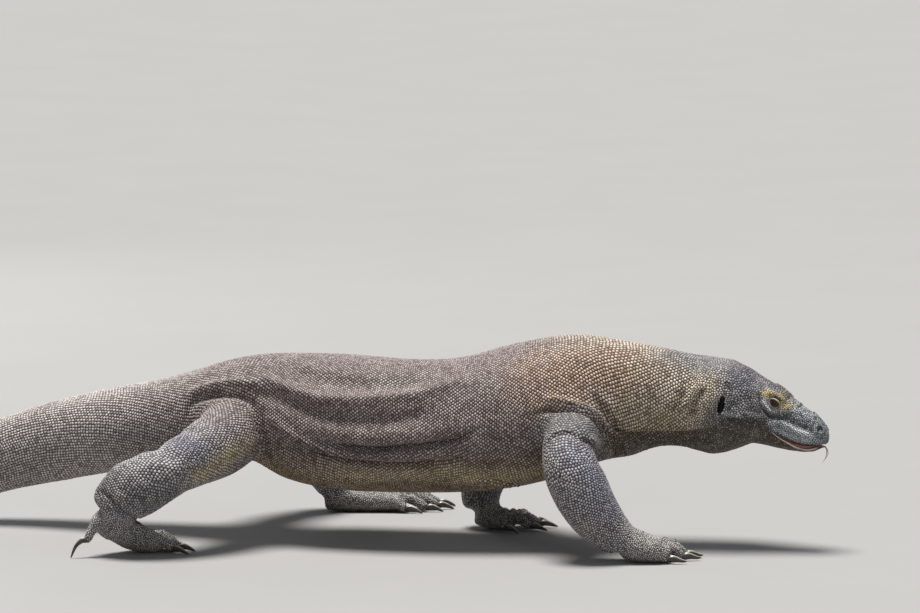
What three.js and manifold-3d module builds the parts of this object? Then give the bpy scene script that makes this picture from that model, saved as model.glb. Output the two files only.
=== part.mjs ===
// A life-size komodo dragon, standing in mid stride.
//
// Millimetres, +X towards the head, +Y towards the animal's left, +Z up. The animal walks with its
// right fore and left hind feet forward, head low and turned a little to its right, and the rear
// half of the tail on the floor. Each part of the body is a closed form, set off from the next by
// a thin cut.
import * as THREE from "three";
import { mergeVertices } from "three/addons/utils/BufferGeometryUtils.js";
import Module from "manifold-3d";

const wasm = await Module();
wasm.setup();

// ---- Driving dimensions --------------------------------------------------------------------

const CUT = 0.4; // width of the cuts between neighbouring parts
const FLOOR_CENTRE = [-534, 41]; // middle of the outline on the floor, which becomes the origin

const BODY_SIDES = 22; // facets round the body
const LIMB_SIDES = 12;
const DIGIT_SIDES = 6;
const CLAW_SIDES = 6;

const EYE_RADIUS = 10.5;
const CLAW_SKIN = "#2f2a27";
const HIDE = {
  back: "#7c6a5e",
  neck: "#8c7b5c",
  belly: "#8a7650",
  limb: "#5d5b60",
  head: "#6d6b68",
};

// ---- Forms ---------------------------------------------------------------------------------

const vector = (values) => new THREE.Vector3(...values);

// A smooth curve through a list of triples, read at a station number that may fall between two.
// Its heading is taken over a stretch, so that the sections fan out evenly round a bend.
function through(triples) {
  const curve = new THREE.CatmullRomCurve3(triples.map(vector), false, "catmullrom", 0.5);
  const last = triples.length - 1;
  const at = (station) => curve.getPoint(THREE.MathUtils.clamp(station / last, 0, 1));
  const across = (station, reach) => {
    const low = Math.max(0, station - reach);
    const high = Math.min(last, station + reach);
    return at(high).sub(at(low)).divideScalar(high - low);
  };
  return {
    at,
    along: (station) => across(station, 0.6).normalize(),
    speed: (station) => across(station, 0.01).length(),
  };
}

// Section frames. A level frame keeps its up direction over the axis; a carried one starts from
// a given direction and turns only as much as the axis does, which suits an upright limb.
function levelFrame(axis) {
  return (station) => {
    const forward = axis.along(station);
    const right = new THREE.Vector3().crossVectors(forward, new THREE.Vector3(0, 0, 1)).normalize();
    return { right, up: new THREE.Vector3().crossVectors(right, forward) };
  };
}

function carriedFrame(axis, last, start) {
  const steps = 16 * last;
  const ups = [];
  let forward = axis.along(0);
  let up = vector(start).projectOnPlane(forward).normalize();
  for (let i = 0; i <= steps; i++) {
    const next = axis.along((i * last) / steps);
    up = up.clone().applyQuaternion(new THREE.Quaternion().setFromUnitVectors(forward, next));
    ups.push(up.projectOnPlane(next).normalize());
    forward = next;
  }
  return (station) => {
    const up = ups[Math.round((station / last) * steps)].clone();
    const along = axis.along(station);
    up.projectOnPlane(along).normalize();
    return { right: new THREE.Vector3().crossVectors(along, up), up };
  };
}

// A form that can be lofted whole or in lengths. Each station is [x, y, z, half width, rise, drop].
function limbForm(stations, { upAtStart = null, squareness = 2, swells = [] } = {}) {
  const last = stations.length - 1;
  const axis = through(stations.map((s) => s.slice(0, 3)));
  const size = through(stations.map((s) => s.slice(3, 6)));
  const frame = upAtStart ? carriedFrame(axis, last, upAtStart) : levelFrame(axis);
  return { last, axis, size, frame, squareness, swells };
}

// One corner of a section: a rounded outline, raised where a muscle, brow or fold swells it.
function sectionPoint(form, station, across, upwards, grow) {
  const centre = form.axis.at(station);
  if (across === 0 && upwards === 0) return centre;
  const { right, up } = form.frame(station);
  const size = form.size.at(station);
  const power = 2 / form.squareness;
  const rounded = (v) => Math.sign(v) * Math.abs(v) ** power;
  const width = Math.max(size.x + grow, 0.5);
  const height = Math.max((upwards > 0 ? size.y : size.z) + grow, 0.5);
  const offset = right
    .clone()
    .multiplyScalar(rounded(across) * width)
    .addScaledVector(up, rounded(upwards) * height);
  const point = centre.clone().add(offset);
  const outward = offset.clone().normalize();
  let push = 0;
  for (const { at, reach, out } of form.swells) {
    const away = point.clone().sub(vector(at)).divide(vector(reach));
    push += out * Math.exp(-away.lengthSq());
  }
  return point.addScaledVector(outward, push);
}

// Carries a cylinder's rings to the form's sections between two stations, as one closed mesh.
function loft(form, { from = 0, to = form.last, sides, perSpan = 2, grow = 0, cutFrom, cutTo }) {
  const start = cutFrom ? from + CUT / 2 / form.axis.speed(from) : from;
  const end = cutTo ? to - CUT / 2 / form.axis.speed(to) : to;
  const rows = Math.max(1, Math.round((to - from) * perSpan));
  const geometry = new THREE.CylinderGeometry(1, 1, 1, sides, rows);
  const place = geometry.getAttribute("position");
  for (let i = 0; i < place.count; i++) {
    const [across, along, upwards] = [place.getX(i), place.getY(i), place.getZ(i)];
    const station = THREE.MathUtils.clamp(from + (along + 0.5) * (to - from), start, end);
    const tidy = (v) => (Math.abs(v) < 1e-6 ? 0 : v);
    const point = sectionPoint(form, station, tidy(across), tidy(upwards), grow);
    place.setXYZ(i, point.x, point.y, point.z);
  }
  return solid(geometry);
}

// A closed three.js geometry as a solid, and back.
function solid(geometry) {
  const plain = geometry.clone();
  plain.deleteAttribute("normal");
  plain.deleteAttribute("uv");
  const merged = mergeVertices(plain, 1e-3);
  return new wasm.Manifold(
    new wasm.Mesh({
      numProp: 3,
      vertProperties: Float32Array.from(merged.getAttribute("position").array),
      triVerts: Uint32Array.from(merged.index.array),
    }),
  );
}

function geometryOf(made) {
  const { vertProperties, triVerts, numProp } = made.getMesh();
  const corners = new Float32Array((vertProperties.length / numProp) * 3);
  for (let i = 0; i < corners.length / 3; i++) {
    corners.set(vertProperties.subarray(i * numProp, i * numProp + 3), i * 3);
  }
  const geometry = new THREE.BufferGeometry();
  geometry.setAttribute("position", new THREE.BufferAttribute(corners, 3));
  geometry.setIndex(new THREE.BufferAttribute(triVerts, 1));
  geometry.computeVertexNormals();
  return geometry;
}

const joined = (solids) => solids.reduce((whole, next) => whole.add(next));
const largest = (made) => made.decompose().sort((a, b) => b.volume() - a.volume())[0];
const onFloor = (made) => made.trimByPlane([0, 0, 1], 0); // soles and tail get flats at one level

const part = new THREE.Group();

function addPart(name, made, colour, roughness = 0.8) {
  const material = new THREE.MeshStandardMaterial({ color: colour, roughness, metalness: 0 });
  const mesh = new THREE.Mesh(geometryOf(largest(made)), material);
  mesh.name = name;
  mesh.position.set(-FLOOR_CENTRE[0], -FLOOR_CENTRE[1], 0);
  part.add(mesh);
}

// ---- Head frame ----------------------------------------------------------------------------

// The head has a frame of its own: x from the ear to the snout, y to the left, z to the crown.
const HEAD = { at: [525, -108, 290], yaw: -18, dip: 22, length: 225 };

const headTurn = new THREE.Matrix4()
  .makeRotationFromEuler(
    new THREE.Euler(
      0,
      THREE.MathUtils.degToRad(HEAD.dip),
      THREE.MathUtils.degToRad(HEAD.yaw),
      "ZYX",
    ),
  )
  .setPosition(vector(HEAD.at));
const inHead = (x, y, z) => vector([x, y, z]).applyMatrix4(headTurn).toArray();

// Depth of the head at each distance from the ear: half width, crown, and underside of the jaw.
const HEAD_PROFILE = [
  { x: 0, half: 80, crown: 87, jaw: -108 },
  { x: 30, half: 75, crown: 85, jaw: -97 },
  { x: 55, half: 69, crown: 81, jaw: -76 },
  { x: 81, half: 60, crown: 78, jaw: -52 },
  { x: 105, half: 53, crown: 74, jaw: -46 },
  { x: 131, half: 46, crown: 67, jaw: -41 },
  { x: 158, half: 41, crown: 63, jaw: -35 },
  { x: 184, half: 36, crown: 59, jaw: -27 },
  { x: 204, half: 31, crown: 49, jaw: -17 },
  { x: 217, half: 23, crown: 37, jaw: -4 },
  { x: HEAD.length, half: 10, crown: 26, jaw: 8 },
];
const headAxisHeight = (x) => -10 + 0.12 * x;
const headStations = HEAD_PROFILE.map(({ x, half, crown, jaw }) => {
  const axis = headAxisHeight(x);
  return [...inHead(x, 0, axis), half, crown - axis, axis - jaw];
});

// ---- Body: tail, hips, belly, chest, neck and head along one bent axis ---------------------

// Each station is [x, y, z, half width, rise, drop], from the tail's tip to the neck.
const BODY_STATIONS = [
  [-1800, -70, 6, 4, 4, 7],
  [-1700, -28, 11, 9, 9, 12],
  [-1560, 36, 19, 14, 17, 20],
  [-1400, 112, 29, 21, 28, 30.5],
  [-1240, 170, 44, 30, 43, 45.5],
  [-1080, 198, 82, 40, 60, 60],
  [-920, 190, 141, 52, 73, 76],
  [-800, 162, 177, 64, 80, 86],
  [-690, 124, 206, 78, 82, 91],
  [-590, 92, 224, 92, 85, 95],
  [-500, 62, 238, 106, 99, 98],
  [-410, 32, 250, 118, 117, 92],
  [-330, 8, 240, 134, 135, 124],
  [-230, -20, 232, 148, 143, 133],
  [-110, -46, 230, 153, 138, 131],
  [10, -66, 232, 150, 139, 130],
  [110, -79, 242, 140, 151, 127],
  [200, -86, 264, 126, 155, 122],
  [268, -89, 283, 110, 148, 112],
  [335, -91, 296, 97, 117, 113],
  [402, -94, 298, 89, 101, 99],
  [462, -99, 292, 85, 93, 95],
];
const HEAD_STARTS = BODY_STATIONS.length - 1; // the head is parted from the neck behind the ear

// Muscle and bone under the hide. A reach is how far a swelling fades out along x, y and z.
const BODY_SWELLS = [
  { at: [262, -160, 392], reach: [58, 50, 60], out: 13 }, // right shoulder blade, forward
  { at: [88, -18, 385], reach: [74, 60, 60], out: 13 }, // left shoulder blade, drawn back
  { at: [235, -205, 285], reach: [80, 60, 75], out: 12 }, // right shoulder
  { at: [150, 40, 285], reach: [80, 60, 75], out: 12 }, // left shoulder
  { at: [-445, -45, 300], reach: [90, 60, 60], out: 10 }, // right hip
  { at: [-440, 125, 300], reach: [90, 60, 60], out: 10 }, // left hip
  { at: [334, -95, 184], reach: [24, 60, 30], out: 9 }, // fold of skin below the throat
  { at: inHead(30, -72, -12), reach: [34, 26, 40], out: 7 }, // jaw muscle, right
  { at: inHead(30, 72, -12), reach: [34, 26, 40], out: 7 }, // jaw muscle, left
  { at: inHead(102, -38, 70), reach: [24, 18, 16], out: 6 }, // right brow
  { at: inHead(102, 38, 70), reach: [24, 18, 16], out: 6 }, // left brow
  { at: inHead(150, -42, 26), reach: [26, 14, 16], out: -5 }, // hollow before the right eye
  { at: inHead(150, 42, 26), reach: [26, 14, 16], out: -5 }, // hollow before the left eye
  { at: inHead(207, -27, 36), reach: [13, 14, 12], out: 4 }, // right nostril
  { at: inHead(207, 27, 36), reach: [13, 14, 12], out: 4 }, // left nostril
];
const body = limbForm([...BODY_STATIONS, ...headStations], {
  squareness: 2.15,
  swells: BODY_SWELLS,
});

// The lengths that the body is parted into, by station.
const BODY_LENGTHS = [
  { name: "tail_tip", from: 0, to: 3, colour: HIDE.back },
  { name: "tail_rear", from: 3, to: 5, colour: HIDE.back },
  { name: "tail_middle", from: 5, to: 7, colour: HIDE.back },
  { name: "tail_base", from: 7, to: 9.5, colour: HIDE.back },
  { name: "hips", from: 9.5, to: 12, colour: HIDE.back },
  { name: "belly", from: 12, to: 15, colour: HIDE.belly },
  { name: "chest", from: 15, to: 18.5, colour: HIDE.back },
  { name: "neck", from: 18.5, to: HEAD_STARTS, colour: HIDE.neck },
];
for (const { name, from, to, colour } of BODY_LENGTHS) {
  const length = loft(body, {
    from,
    to,
    sides: BODY_SIDES,
    cutFrom: from > 0,
    cutTo: true,
  });
  addPart(name, onFloor(length), colour);
}

// ---- Head, lower jaw, tongue and eyes ------------------------------------------------------

// The mouth is parted a little. Both lips run from its corner to the snout, in the head's frame.
const MOUTH_CORNER = [104, 8];
const UPPER_LIP = [
  [120, 1],
  [134, -3],
  [168, -7],
  [188, -4],
  [206, 3],
  [221, 9],
  [250, 14],
];
const LOWER_LIP = [
  [124, -4],
  [138, -9],
  [175, -14],
  [192, -13],
  [207, -7],
  [216, 2],
  [250, 8],
];
const JAW_HINGE = [30, -26];
const HEAD_REACH = 130; // further from the middle than any part of the head

// A slab across the head, with this outline seen from its right side.
function acrossHead(outline) {
  const shape = new THREE.Shape(outline.map(([x, z]) => new THREE.Vector2(x, z)));
  const slab = new THREE.ExtrudeGeometry(shape, { depth: 2 * HEAD_REACH, bevelEnabled: false });
  slab.rotateX(Math.PI / 2).translate(0, HEAD_REACH, 0).applyMatrix4(headTurn);
  return solid(slab);
}

// All that lies below a lip and in front of the jaw's hinge, less a margin.
function belowMouth(lip, margin) {
  const [hingeX, hingeZ] = JAW_HINGE;
  return acrossHead([
    [hingeX + margin, -2 * HEAD_REACH],
    [2 * HEAD_REACH, -2 * HEAD_REACH],
    [2 * HEAD_REACH, lip.at(-1)[1]],
    ...lip.toReversed(),
    [MOUTH_CORNER[0], MOUTH_CORNER[1] - margin],
    [hingeX + margin, hingeZ - margin],
  ]);
}

// A ball or egg at a place in the head, tilted about the head's y axis.
function eggInHead(x, y, z, radii, tilt = 0) {
  const egg = new THREE.SphereGeometry(1, 12, 7);
  egg.scale(...radii).rotateY(tilt).translate(x, y, z).applyMatrix4(headTurn);
  return solid(egg);
}

const EYE = { x: 103, y: 38, z: 50 };
const EAR = { x: 14, y: 84, z: 12, radii: [6.5, 16, 22], tilt: -0.17 };
const NOSTRIL = { x: 208, y: 29, z: 39, radii: [6, 7, 3.8], tilt: 0.3 };
const JAW_INSET = 2.2; // how far the lower lip sits inside the upper one
const SIDES = { right: -1, left: 1 };

const headLength = { from: HEAD_STARTS, sides: BODY_SIDES, perSpan: 1, cutFrom: true };
const holes = Object.values(SIDES).flatMap((side) => [
  eggInHead(EYE.x, side * EYE.y, EYE.z, Array(3).fill(EYE_RADIUS + CUT)),
  eggInHead(EAR.x, side * EAR.y, EAR.z, EAR.radii, EAR.tilt),
  eggInHead(NOSTRIL.x, side * NOSTRIL.y, NOSTRIL.z, NOSTRIL.radii, NOSTRIL.tilt),
]);
const skull = loft(body, headLength).subtract(belowMouth(UPPER_LIP, 0)).subtract(joined(holes));
addPart("head", skull, HIDE.head);

const jaw = loft(body, { ...headLength, grow: -JAW_INSET }).intersect(belowMouth(LOWER_LIP, CUT));
addPart("lower_jaw", jaw, HIDE.head);

for (const [name, side] of Object.entries(SIDES)) {
  const ball = eggInHead(EYE.x, side * EYE.y, EYE.z, Array(3).fill(EYE_RADIUS));
  addPart("eye_" + name, ball, "#2a1710", 0.1);
}

// The tongue's forked tip hangs from the front of the mouth.
const tongueStem = limbForm([
  [...inHead(180, -6, -9.4), 7, 1.5, 1.5],
  [...inHead(198, -8, -4.8), 6, 1.5, 1.5],
  [...inHead(213, -9, 3.2), 5, 1.5, 1.5],
  [...inHead(227, -10, 6.4), 4.4, 1.5, 1.5],
]);
const tongueTip = (sideways, length) =>
  limbForm(
    [
      [...inHead(224, -10, 6.2), 2.4, 1.5, 1.5],
      [...inHead(232, -10 + sideways / 2, 2), 2.2, 1.6, 1.6],
      [...inHead(236, -10 + sideways, -length / 2), 1.8, 1.4, 1.4],
      [...inHead(233, -10 + sideways, -length), 1.1, 1, 1],
    ],
    { upAtStart: [0, 0, 1] },
  );
const tongue = joined([
  loft(tongueStem, { sides: 8, perSpan: 1 }),
  loft(tongueTip(-5, 26), { sides: 6, perSpan: 1 }),
  loft(tongueTip(6, 20), { sides: 6, perSpan: 1 }),
]);
addPart("tongue", tongue, "#a8746c", 0.4);

// ---- Legs ----------------------------------------------------------------------------------

// A leg's stations run from inside the trunk to the wrist or ankle, and it is parted at `joint`.
// A digit has a heading in degrees from +X, turning left, and lengths without its claw.
const LEGS = [
  {
    name: "right",
    parts: ["upper_arm", "forearm", "hand"],
    stations: [
      [250, -140, 262, 50, 50, 50],
      [226, -205, 246, 54, 56, 54],
      [212, -262, 224, 52, 54, 52],
      [216, -296, 188, 57, 57, 57],
      [234, -306, 150, 58, 59, 59],
      [254, -309, 110, 55, 56, 55],
      [284, -308, 72, 49, 49, 48],
      [320, -306, 42, 41, 35, 36],
    ],
    upAtStart: [1, 0, 0.2],
    joint: 3.5,
    palm: [
      [320, -306, 40, 41, 36, 34],
      [350, -304, 32, 44, 32, 33],
      [380, -300, 24, 46, 26, 26],
      [406, -294, 20, 38, 18, 20],
    ],
    digits: [
      { base: [350, -270, 30], heading: 58, length: 38, radius: 11, arch: 36 },
      { base: [382, -276, 24], heading: 34, length: 52, radius: 12, arch: 35 },
      { base: [390, -289, 24], heading: 19, length: 57, radius: 12.5, arch: 36 },
      { base: [388, -303, 22], heading: 8, length: 50, radius: 12.5, arch: 32 },
      { base: [362, -327, 19], heading: -5, length: 46, radius: 12.5, arch: 27 },
    ],
    claw: { reach: 38, tip: 6 },
  },
  {
    name: "left",
    parts: ["upper_arm", "forearm", "hand"],
    stations: [
      [170, 0, 262, 48, 48, 48],
      [148, 50, 244, 58, 58, 58],
      [108, 94, 212, 57, 58, 58],
      [76, 114, 168, 54, 56, 56],
      [54, 118, 116, 47, 49, 49],
      [42, 116, 74, 42, 43, 43],
      [40, 110, 40, 37, 34, 34],
    ],
    upAtStart: [1, 0.3, 0.2],
    joint: 3,
    palm: [
      [38, 108, 38, 36, 34, 34],
      [60, 110, 28, 38, 25, 29],
      [84, 114, 22, 40, 20, 24],
      [106, 120, 18, 34, 14, 19],
    ],
    digits: [
      { base: [68, 90, 20], heading: -50, length: 42, radius: 11, arch: 24 },
      { base: [88, 98, 20], heading: -20, length: 58, radius: 12, arch: 28 },
      { base: [94, 110, 20], heading: 4, length: 68, radius: 12.5, arch: 30 },
      { base: [92, 124, 20], heading: 26, length: 66, radius: 12.5, arch: 29 },
      { base: [76, 138, 18], heading: 54, length: 50, radius: 12, arch: 25 },
    ],
    claw: { reach: 36, tip: 3 },
  },
  {
    name: "right",
    parts: ["thigh", "shank", "foot"],
    stations: [
      [-436, 0, 240, 60, 60, 60],
      [-450, -60, 226, 70, 70, 70],
      [-482, -130, 204, 67, 68, 66],
      [-528, -188, 186, 58, 60, 56],
      [-578, -224, 168, 55, 58, 55],
      [-630, -238, 141, 55, 60, 62],
      [-671, -240, 112, 46, 50, 54],
      [-699, -238, 88, 35, 36, 38],
    ],
    upAtStart: [0, 0, 1],
    joint: 4,
    palm: [
      [-704, -238, 88, 33, 35, 30],
      [-689, -229, 62, 34, 35, 29],
      [-654, -206, 38, 37, 32, 29],
      [-622, -182, 25, 41, 24, 28],
      [-600, -170, 19, 36, 16, 21],
    ],
    digits: [
      { base: [-632, -152, 20], heading: 24, length: 38, radius: 11, arch: 26 },
      { base: [-614, -157, 21], heading: 6, length: 44, radius: 12, arch: 31 },
      { base: [-608, -170, 21], heading: -9, length: 50, radius: 12.5, arch: 33 },
      { base: [-616, -185, 21], heading: -24, length: 52, radius: 12.5, arch: 32 },
      { base: [-718, -244, 80], heading: -158, length: 20, radius: 11.5, arch: 58, end: 34 },
    ],
    claw: { reach: 34, tip: 1.6 },
  },
  {
    name: "left",
    parts: ["thigh", "shank", "foot"],
    stations: [
      [-440, 90, 246, 62, 62, 62],
      [-420, 150, 242, 72, 72, 72],
      [-390, 220, 226, 68, 66, 68],
      [-352, 278, 200, 58, 58, 60],
      [-316, 312, 160, 54, 56, 56],
      [-288, 328, 112, 50, 46, 54],
      [-268, 334, 72, 40, 36, 42],
      [-258, 336, 44, 34, 32, 34],
    ],
    upAtStart: [0.4, 0, 1],
    joint: 3.5,
    palm: [
      [-276, 336, 34, 34, 28, 34],
      [-240, 338, 30, 35, 24, 31],
      [-196, 340, 26, 37, 21, 27],
      [-150, 342, 24, 40, 19, 25],
      [-124, 344, 22, 34, 14, 22],
    ],
    digits: [
      { base: [-160, 318, 22], heading: -16, length: 52, radius: 11, arch: 26 },
      { base: [-142, 328, 23], heading: -5, length: 74, radius: 12, arch: 32 },
      { base: [-138, 342, 23], heading: 5, length: 92, radius: 12.5, arch: 36 },
      { base: [-142, 356, 23], heading: 16, length: 104, radius: 12.5, arch: 36 },
      { base: [-214, 362, 24], heading: 62, length: 62, radius: 12, arch: 28 },
    ],
    claw: { reach: 34, tip: 1.6 },
  },
];

// A digit rises over its knuckle and comes down on its pad.
function digitForm({ base, heading, length, radius, arch, end = 9.4 }) {
  const turn = THREE.MathUtils.degToRad(heading);
  const ahead = (share) => [
    base[0] + share * length * Math.cos(turn),
    base[1] + share * length * Math.sin(turn),
  ];
  return limbForm([
    [...base, radius * 1.15, radius * 1.05, radius * 1.1],
    [...ahead(0.38), arch, radius * 1.02, radius * 0.95, radius],
    [...ahead(0.74), (arch + end) / 2, radius * 0.9, radius * 0.84, radius * 0.95],
    [...ahead(1), end, radius * 0.78, radius * 0.74, radius * 0.8],
  ]);
}

// A claw leaves the digit's end and curls down to a point at or near the floor.
function clawForm({ base, heading, length, radius, end = 9.4 }, { reach, tip }) {
  const turn = THREE.MathUtils.degToRad(heading);
  const ahead = (further) => [
    base[0] + (length + further) * Math.cos(turn),
    base[1] + (length + further) * Math.sin(turn),
  ];
  return limbForm([
    [...ahead(-5), end + 1, radius * 0.42, radius * 0.56, radius * 0.6],
    [...ahead(0.36 * reach), end + 2, radius * 0.34, radius * 0.5, radius * 0.54],
    [...ahead(0.74 * reach), end * 0.7, radius * 0.22, radius * 0.3, radius * 0.34],
    [...ahead(reach), tip, 1.0, 1.1, 1.4],
  ]);
}

const trunkRoom = loft(body, { from: 8, to: 21, sides: BODY_SIDES, grow: CUT });

for (const { name, parts, stations, upAtStart, joint, palm, digits, claw } of LEGS) {
  const [upper, lower, paw] = parts;
  const leg = limbForm(stations, { upAtStart });
  const limb = { sides: LIMB_SIDES };

  const upperLength = loft(leg, { ...limb, to: joint, cutTo: true }).subtract(trunkRoom);
  addPart(`${upper}_${name}`, upperLength, HIDE.limb);

  // Where the elbow or knee folds, the lower length gives way to the upper one.
  const upperRoom = loft(leg, { ...limb, to: joint, grow: CUT });
  const lowerLength = loft(leg, { ...limb, from: joint, cutFrom: true, cutTo: true })
    .subtract(upperRoom)
    .subtract(trunkRoom);
  addPart(`${lower}_${name}`, onFloor(lowerLength), HIDE.limb);

  // The paw is its palm and digits, cut away where the leg enters it.
  const pawForms = [
    { form: limbForm(palm), sides: LIMB_SIDES },
    ...digits.map((digit) => ({ form: digitForm(digit), sides: DIGIT_SIDES })),
  ];
  const pawGrown = (grow) =>
    joined(pawForms.map(({ form, sides }) => loft(form, { sides, perSpan: 1, grow })));
  const lowerRoom = loft(leg, { ...limb, from: joint, grow: CUT });
  const pawWhole = pawGrown(0).subtract(lowerRoom).subtract(upperRoom);
  addPart(`${paw}_${name}`, onFloor(pawWhole), HIDE.limb);

  const pawRoom = pawGrown(CUT);
  digits.forEach((digit, i) => {
    const horn = loft(clawForm(digit, claw), { sides: CLAW_SIDES, perSpan: 1 }).subtract(pawRoom);
    addPart(`claw_${paw}_${name}_${i + 1}`, onFloor(horn), CLAW_SKIN, 0.45);
  });
}

export default part;
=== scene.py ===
import math

import bmesh
import bpy
import numpy as np
from mathutils import Matrix, Vector
from mathutils.bvhtree import BVHTree
from mathutils.kdtree import KDTree


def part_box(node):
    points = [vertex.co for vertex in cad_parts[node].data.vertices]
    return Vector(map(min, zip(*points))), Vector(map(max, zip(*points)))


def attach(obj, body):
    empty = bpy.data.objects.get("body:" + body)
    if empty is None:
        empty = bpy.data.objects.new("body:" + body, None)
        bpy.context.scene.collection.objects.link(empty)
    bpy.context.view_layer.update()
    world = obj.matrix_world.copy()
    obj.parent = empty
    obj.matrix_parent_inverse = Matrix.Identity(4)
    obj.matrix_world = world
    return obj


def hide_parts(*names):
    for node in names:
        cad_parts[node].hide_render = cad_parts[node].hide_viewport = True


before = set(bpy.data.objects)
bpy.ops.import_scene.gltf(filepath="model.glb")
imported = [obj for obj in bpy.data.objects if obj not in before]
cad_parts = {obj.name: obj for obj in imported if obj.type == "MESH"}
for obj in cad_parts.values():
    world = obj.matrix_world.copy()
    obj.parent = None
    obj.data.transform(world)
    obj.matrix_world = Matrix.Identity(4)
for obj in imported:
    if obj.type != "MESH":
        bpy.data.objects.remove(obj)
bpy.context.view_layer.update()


# ---- Studio ---------------------------------------------------------------------------------
# A pale floor, a broad soft sun nearly overhead, a weak soft lamp before the animal and one
# behind it, and a long lens a little above its back.

LENS_MM = 300
SENSOR_MM = 36
AIM = Vector((0.534, -0.041, 0.467))
STAND_OFF = 15.333
LOOK_DOWN = math.radians(7.5)
SIGHT = 60
# Lamps: where each stands, what it is turned to, how far across it is, and its power and tint.
SUN_FROM = (-0.12, 0.06, 1)
SUN_SPREAD = math.radians(26)
SUN_POWER, SUN_TINT = 6.0, (1.0, 0.985, 0.96)
FILL_POWER, FILL_TINT = 20, (0.95, 0.97, 1.0)
AIR_POWER, AIR_TINT = 0.26, (0.86, 0.9, 1.0, 1)
FILL_LAMPS = (
    ("front_fill", (1.8, -4.0, 1.9), (0.3, 0, 0.3), 2.0),
    ("back_fill", (-1.6, 4.0, 1.6), (0, 0, 0.3), 2.2),
)
FLOOR_REACH = 14


def linked(name, held):
    """An object in the scene that holds a mesh, a lamp or a camera."""
    made = bpy.data.objects.new(name, held)
    bpy.context.scene.collection.objects.link(made)
    return made


def meshed(name, shape):
    """The finished shape as a smoothly shaded mesh."""
    mesh = bpy.data.meshes.new(name)
    shape.to_mesh(mesh)
    shape.free()
    mesh.shade_smooth()
    return mesh


def lamp(name, kind, place, aim, power, tint):
    """A lamp at a place, turned to what it lights."""
    made = bpy.data.lights.new(name, kind)
    made.energy = power
    made.color = tint
    holder = linked(name, made)
    holder.location = place
    holder.rotation_euler = (Vector(aim) - Vector(place)).to_track_quat("-Z", "Y").to_euler()
    return made


camera = linked("camera", bpy.data.cameras.new("camera"))
camera.data.lens = LENS_MM
camera.data.sensor_width = SENSOR_MM
camera.data.clip_end = SIGHT
camera.location = AIM + STAND_OFF * Vector((0, -math.cos(LOOK_DOWN), math.sin(LOOK_DOWN)))
camera.rotation_euler = (math.pi / 2 - LOOK_DOWN, 0, 0)
bpy.context.scene.camera = camera

sun = lamp("overhead", "SUN", SUN_FROM, (0, 0, 0), SUN_POWER, SUN_TINT)
sun.angle = SUN_SPREAD
for name, place, aim, across in FILL_LAMPS:
    fill = lamp(name, "AREA", place, aim, FILL_POWER, FILL_TINT)
    fill.shape = "DISK"
    fill.size = across

world = bpy.data.worlds.new("studio_air")
world.use_nodes = True
air = world.node_tree.nodes["Background"].inputs
air["Color"].default_value = AIR_TINT
air["Strength"].default_value = AIR_POWER
bpy.context.scene.world = world
bpy.context.scene.view_settings.view_transform = "Standard"


class Socket:
    """A node's output that can be used in sums."""

    def __init__(self, sheet, socket):
        self.sheet = sheet
        self.socket = socket

    def sum(self, operation, *terms):
        return self.sheet.node("ShaderNodeMath", {"operation": operation}, dict(enumerate(terms)))

    def __add__(self, other):
        return self.sum("ADD", self, other)

    def __sub__(self, other):
        return self.sum("SUBTRACT", self, other)

    def __rsub__(self, other):
        return self.sum("SUBTRACT", other, self)

    def __mul__(self, other):
        return self.sum("MULTIPLY", self, other)

    def __pow__(self, other):
        return self.sum("POWER", self, other)

    __radd__ = __add__
    __rmul__ = __mul__

    def clamped(self):
        settings = {"operation": "ADD", "use_clamp": True}
        return self.sheet.node("ShaderNodeMath", settings, {0: self, 1: 0.0})

    def spread(self, low, high):
        """Nought up to the low value, one from the high value, and even between them."""
        return self.sheet.node("ShaderNodeMapRange", {}, {0: self, 1: low, 2: high})


class Material:
    """A material on the principled shader, with its nodes made by `node`."""

    def __init__(self, name, roughness, specular, **fixed):
        self.made = bpy.data.materials.new(name)
        self.made.use_nodes = True
        self.tree = self.made.node_tree
        self.shader = self.tree.nodes["Principled BSDF"]
        self.shader.inputs["Roughness"].default_value = roughness
        self.shader.inputs["Specular IOR Level"].default_value = specular
        for socket, value in fixed.items():
            self.shader.inputs[socket.replace("_", " ")].default_value = value

    def node(self, kind, settings, values, out=0):
        """A node with its settings, then a number, a colour or a link for each socket named."""
        made = self.tree.nodes.new(kind)
        for key, value in settings.items():
            setattr(made, key, value)
        for key, value in values.items():
            socket = made.inputs[key]
            if isinstance(value, Socket):
                self.tree.links.new(value.socket, socket)
            elif socket.type == "RGBA":
                socket.default_value = (*value, 1)
            else:
                socket.default_value = value
        return Socket(self, made.outputs[out])

    def read(self, name):
        """A share that the mesh carries at each of its points."""
        return self.node("ShaderNodeAttribute", {"attribute_name": name}, {}, "Fac")

    def grain(self, scale, detail=2.0):
        place = self.node("ShaderNodeTexCoord", {}, {}, "Object")
        values = {"Vector": place, "Scale": scale, "Detail": detail}
        return self.node("ShaderNodeTexNoise", {}, values, "Fac")

    def mix(self, share, first, second):
        values = {0: share, 6: first, 7: second}
        return self.node("ShaderNodeMix", {"data_type": "RGBA"}, values, 2)

    def colour(self, value):
        self.tree.links.new(value.socket, self.shader.inputs["Base Color"])

    def roughness(self, value):
        self.tree.links.new(value.socket, self.shader.inputs["Roughness"])

    def bump(self, height, strength, distance):
        values = {"Height": height, "Strength": strength, "Distance": distance}
        made = self.node("ShaderNodeBump", {}, values)
        self.tree.links.new(made.socket, self.shader.inputs["Normal"])


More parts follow.
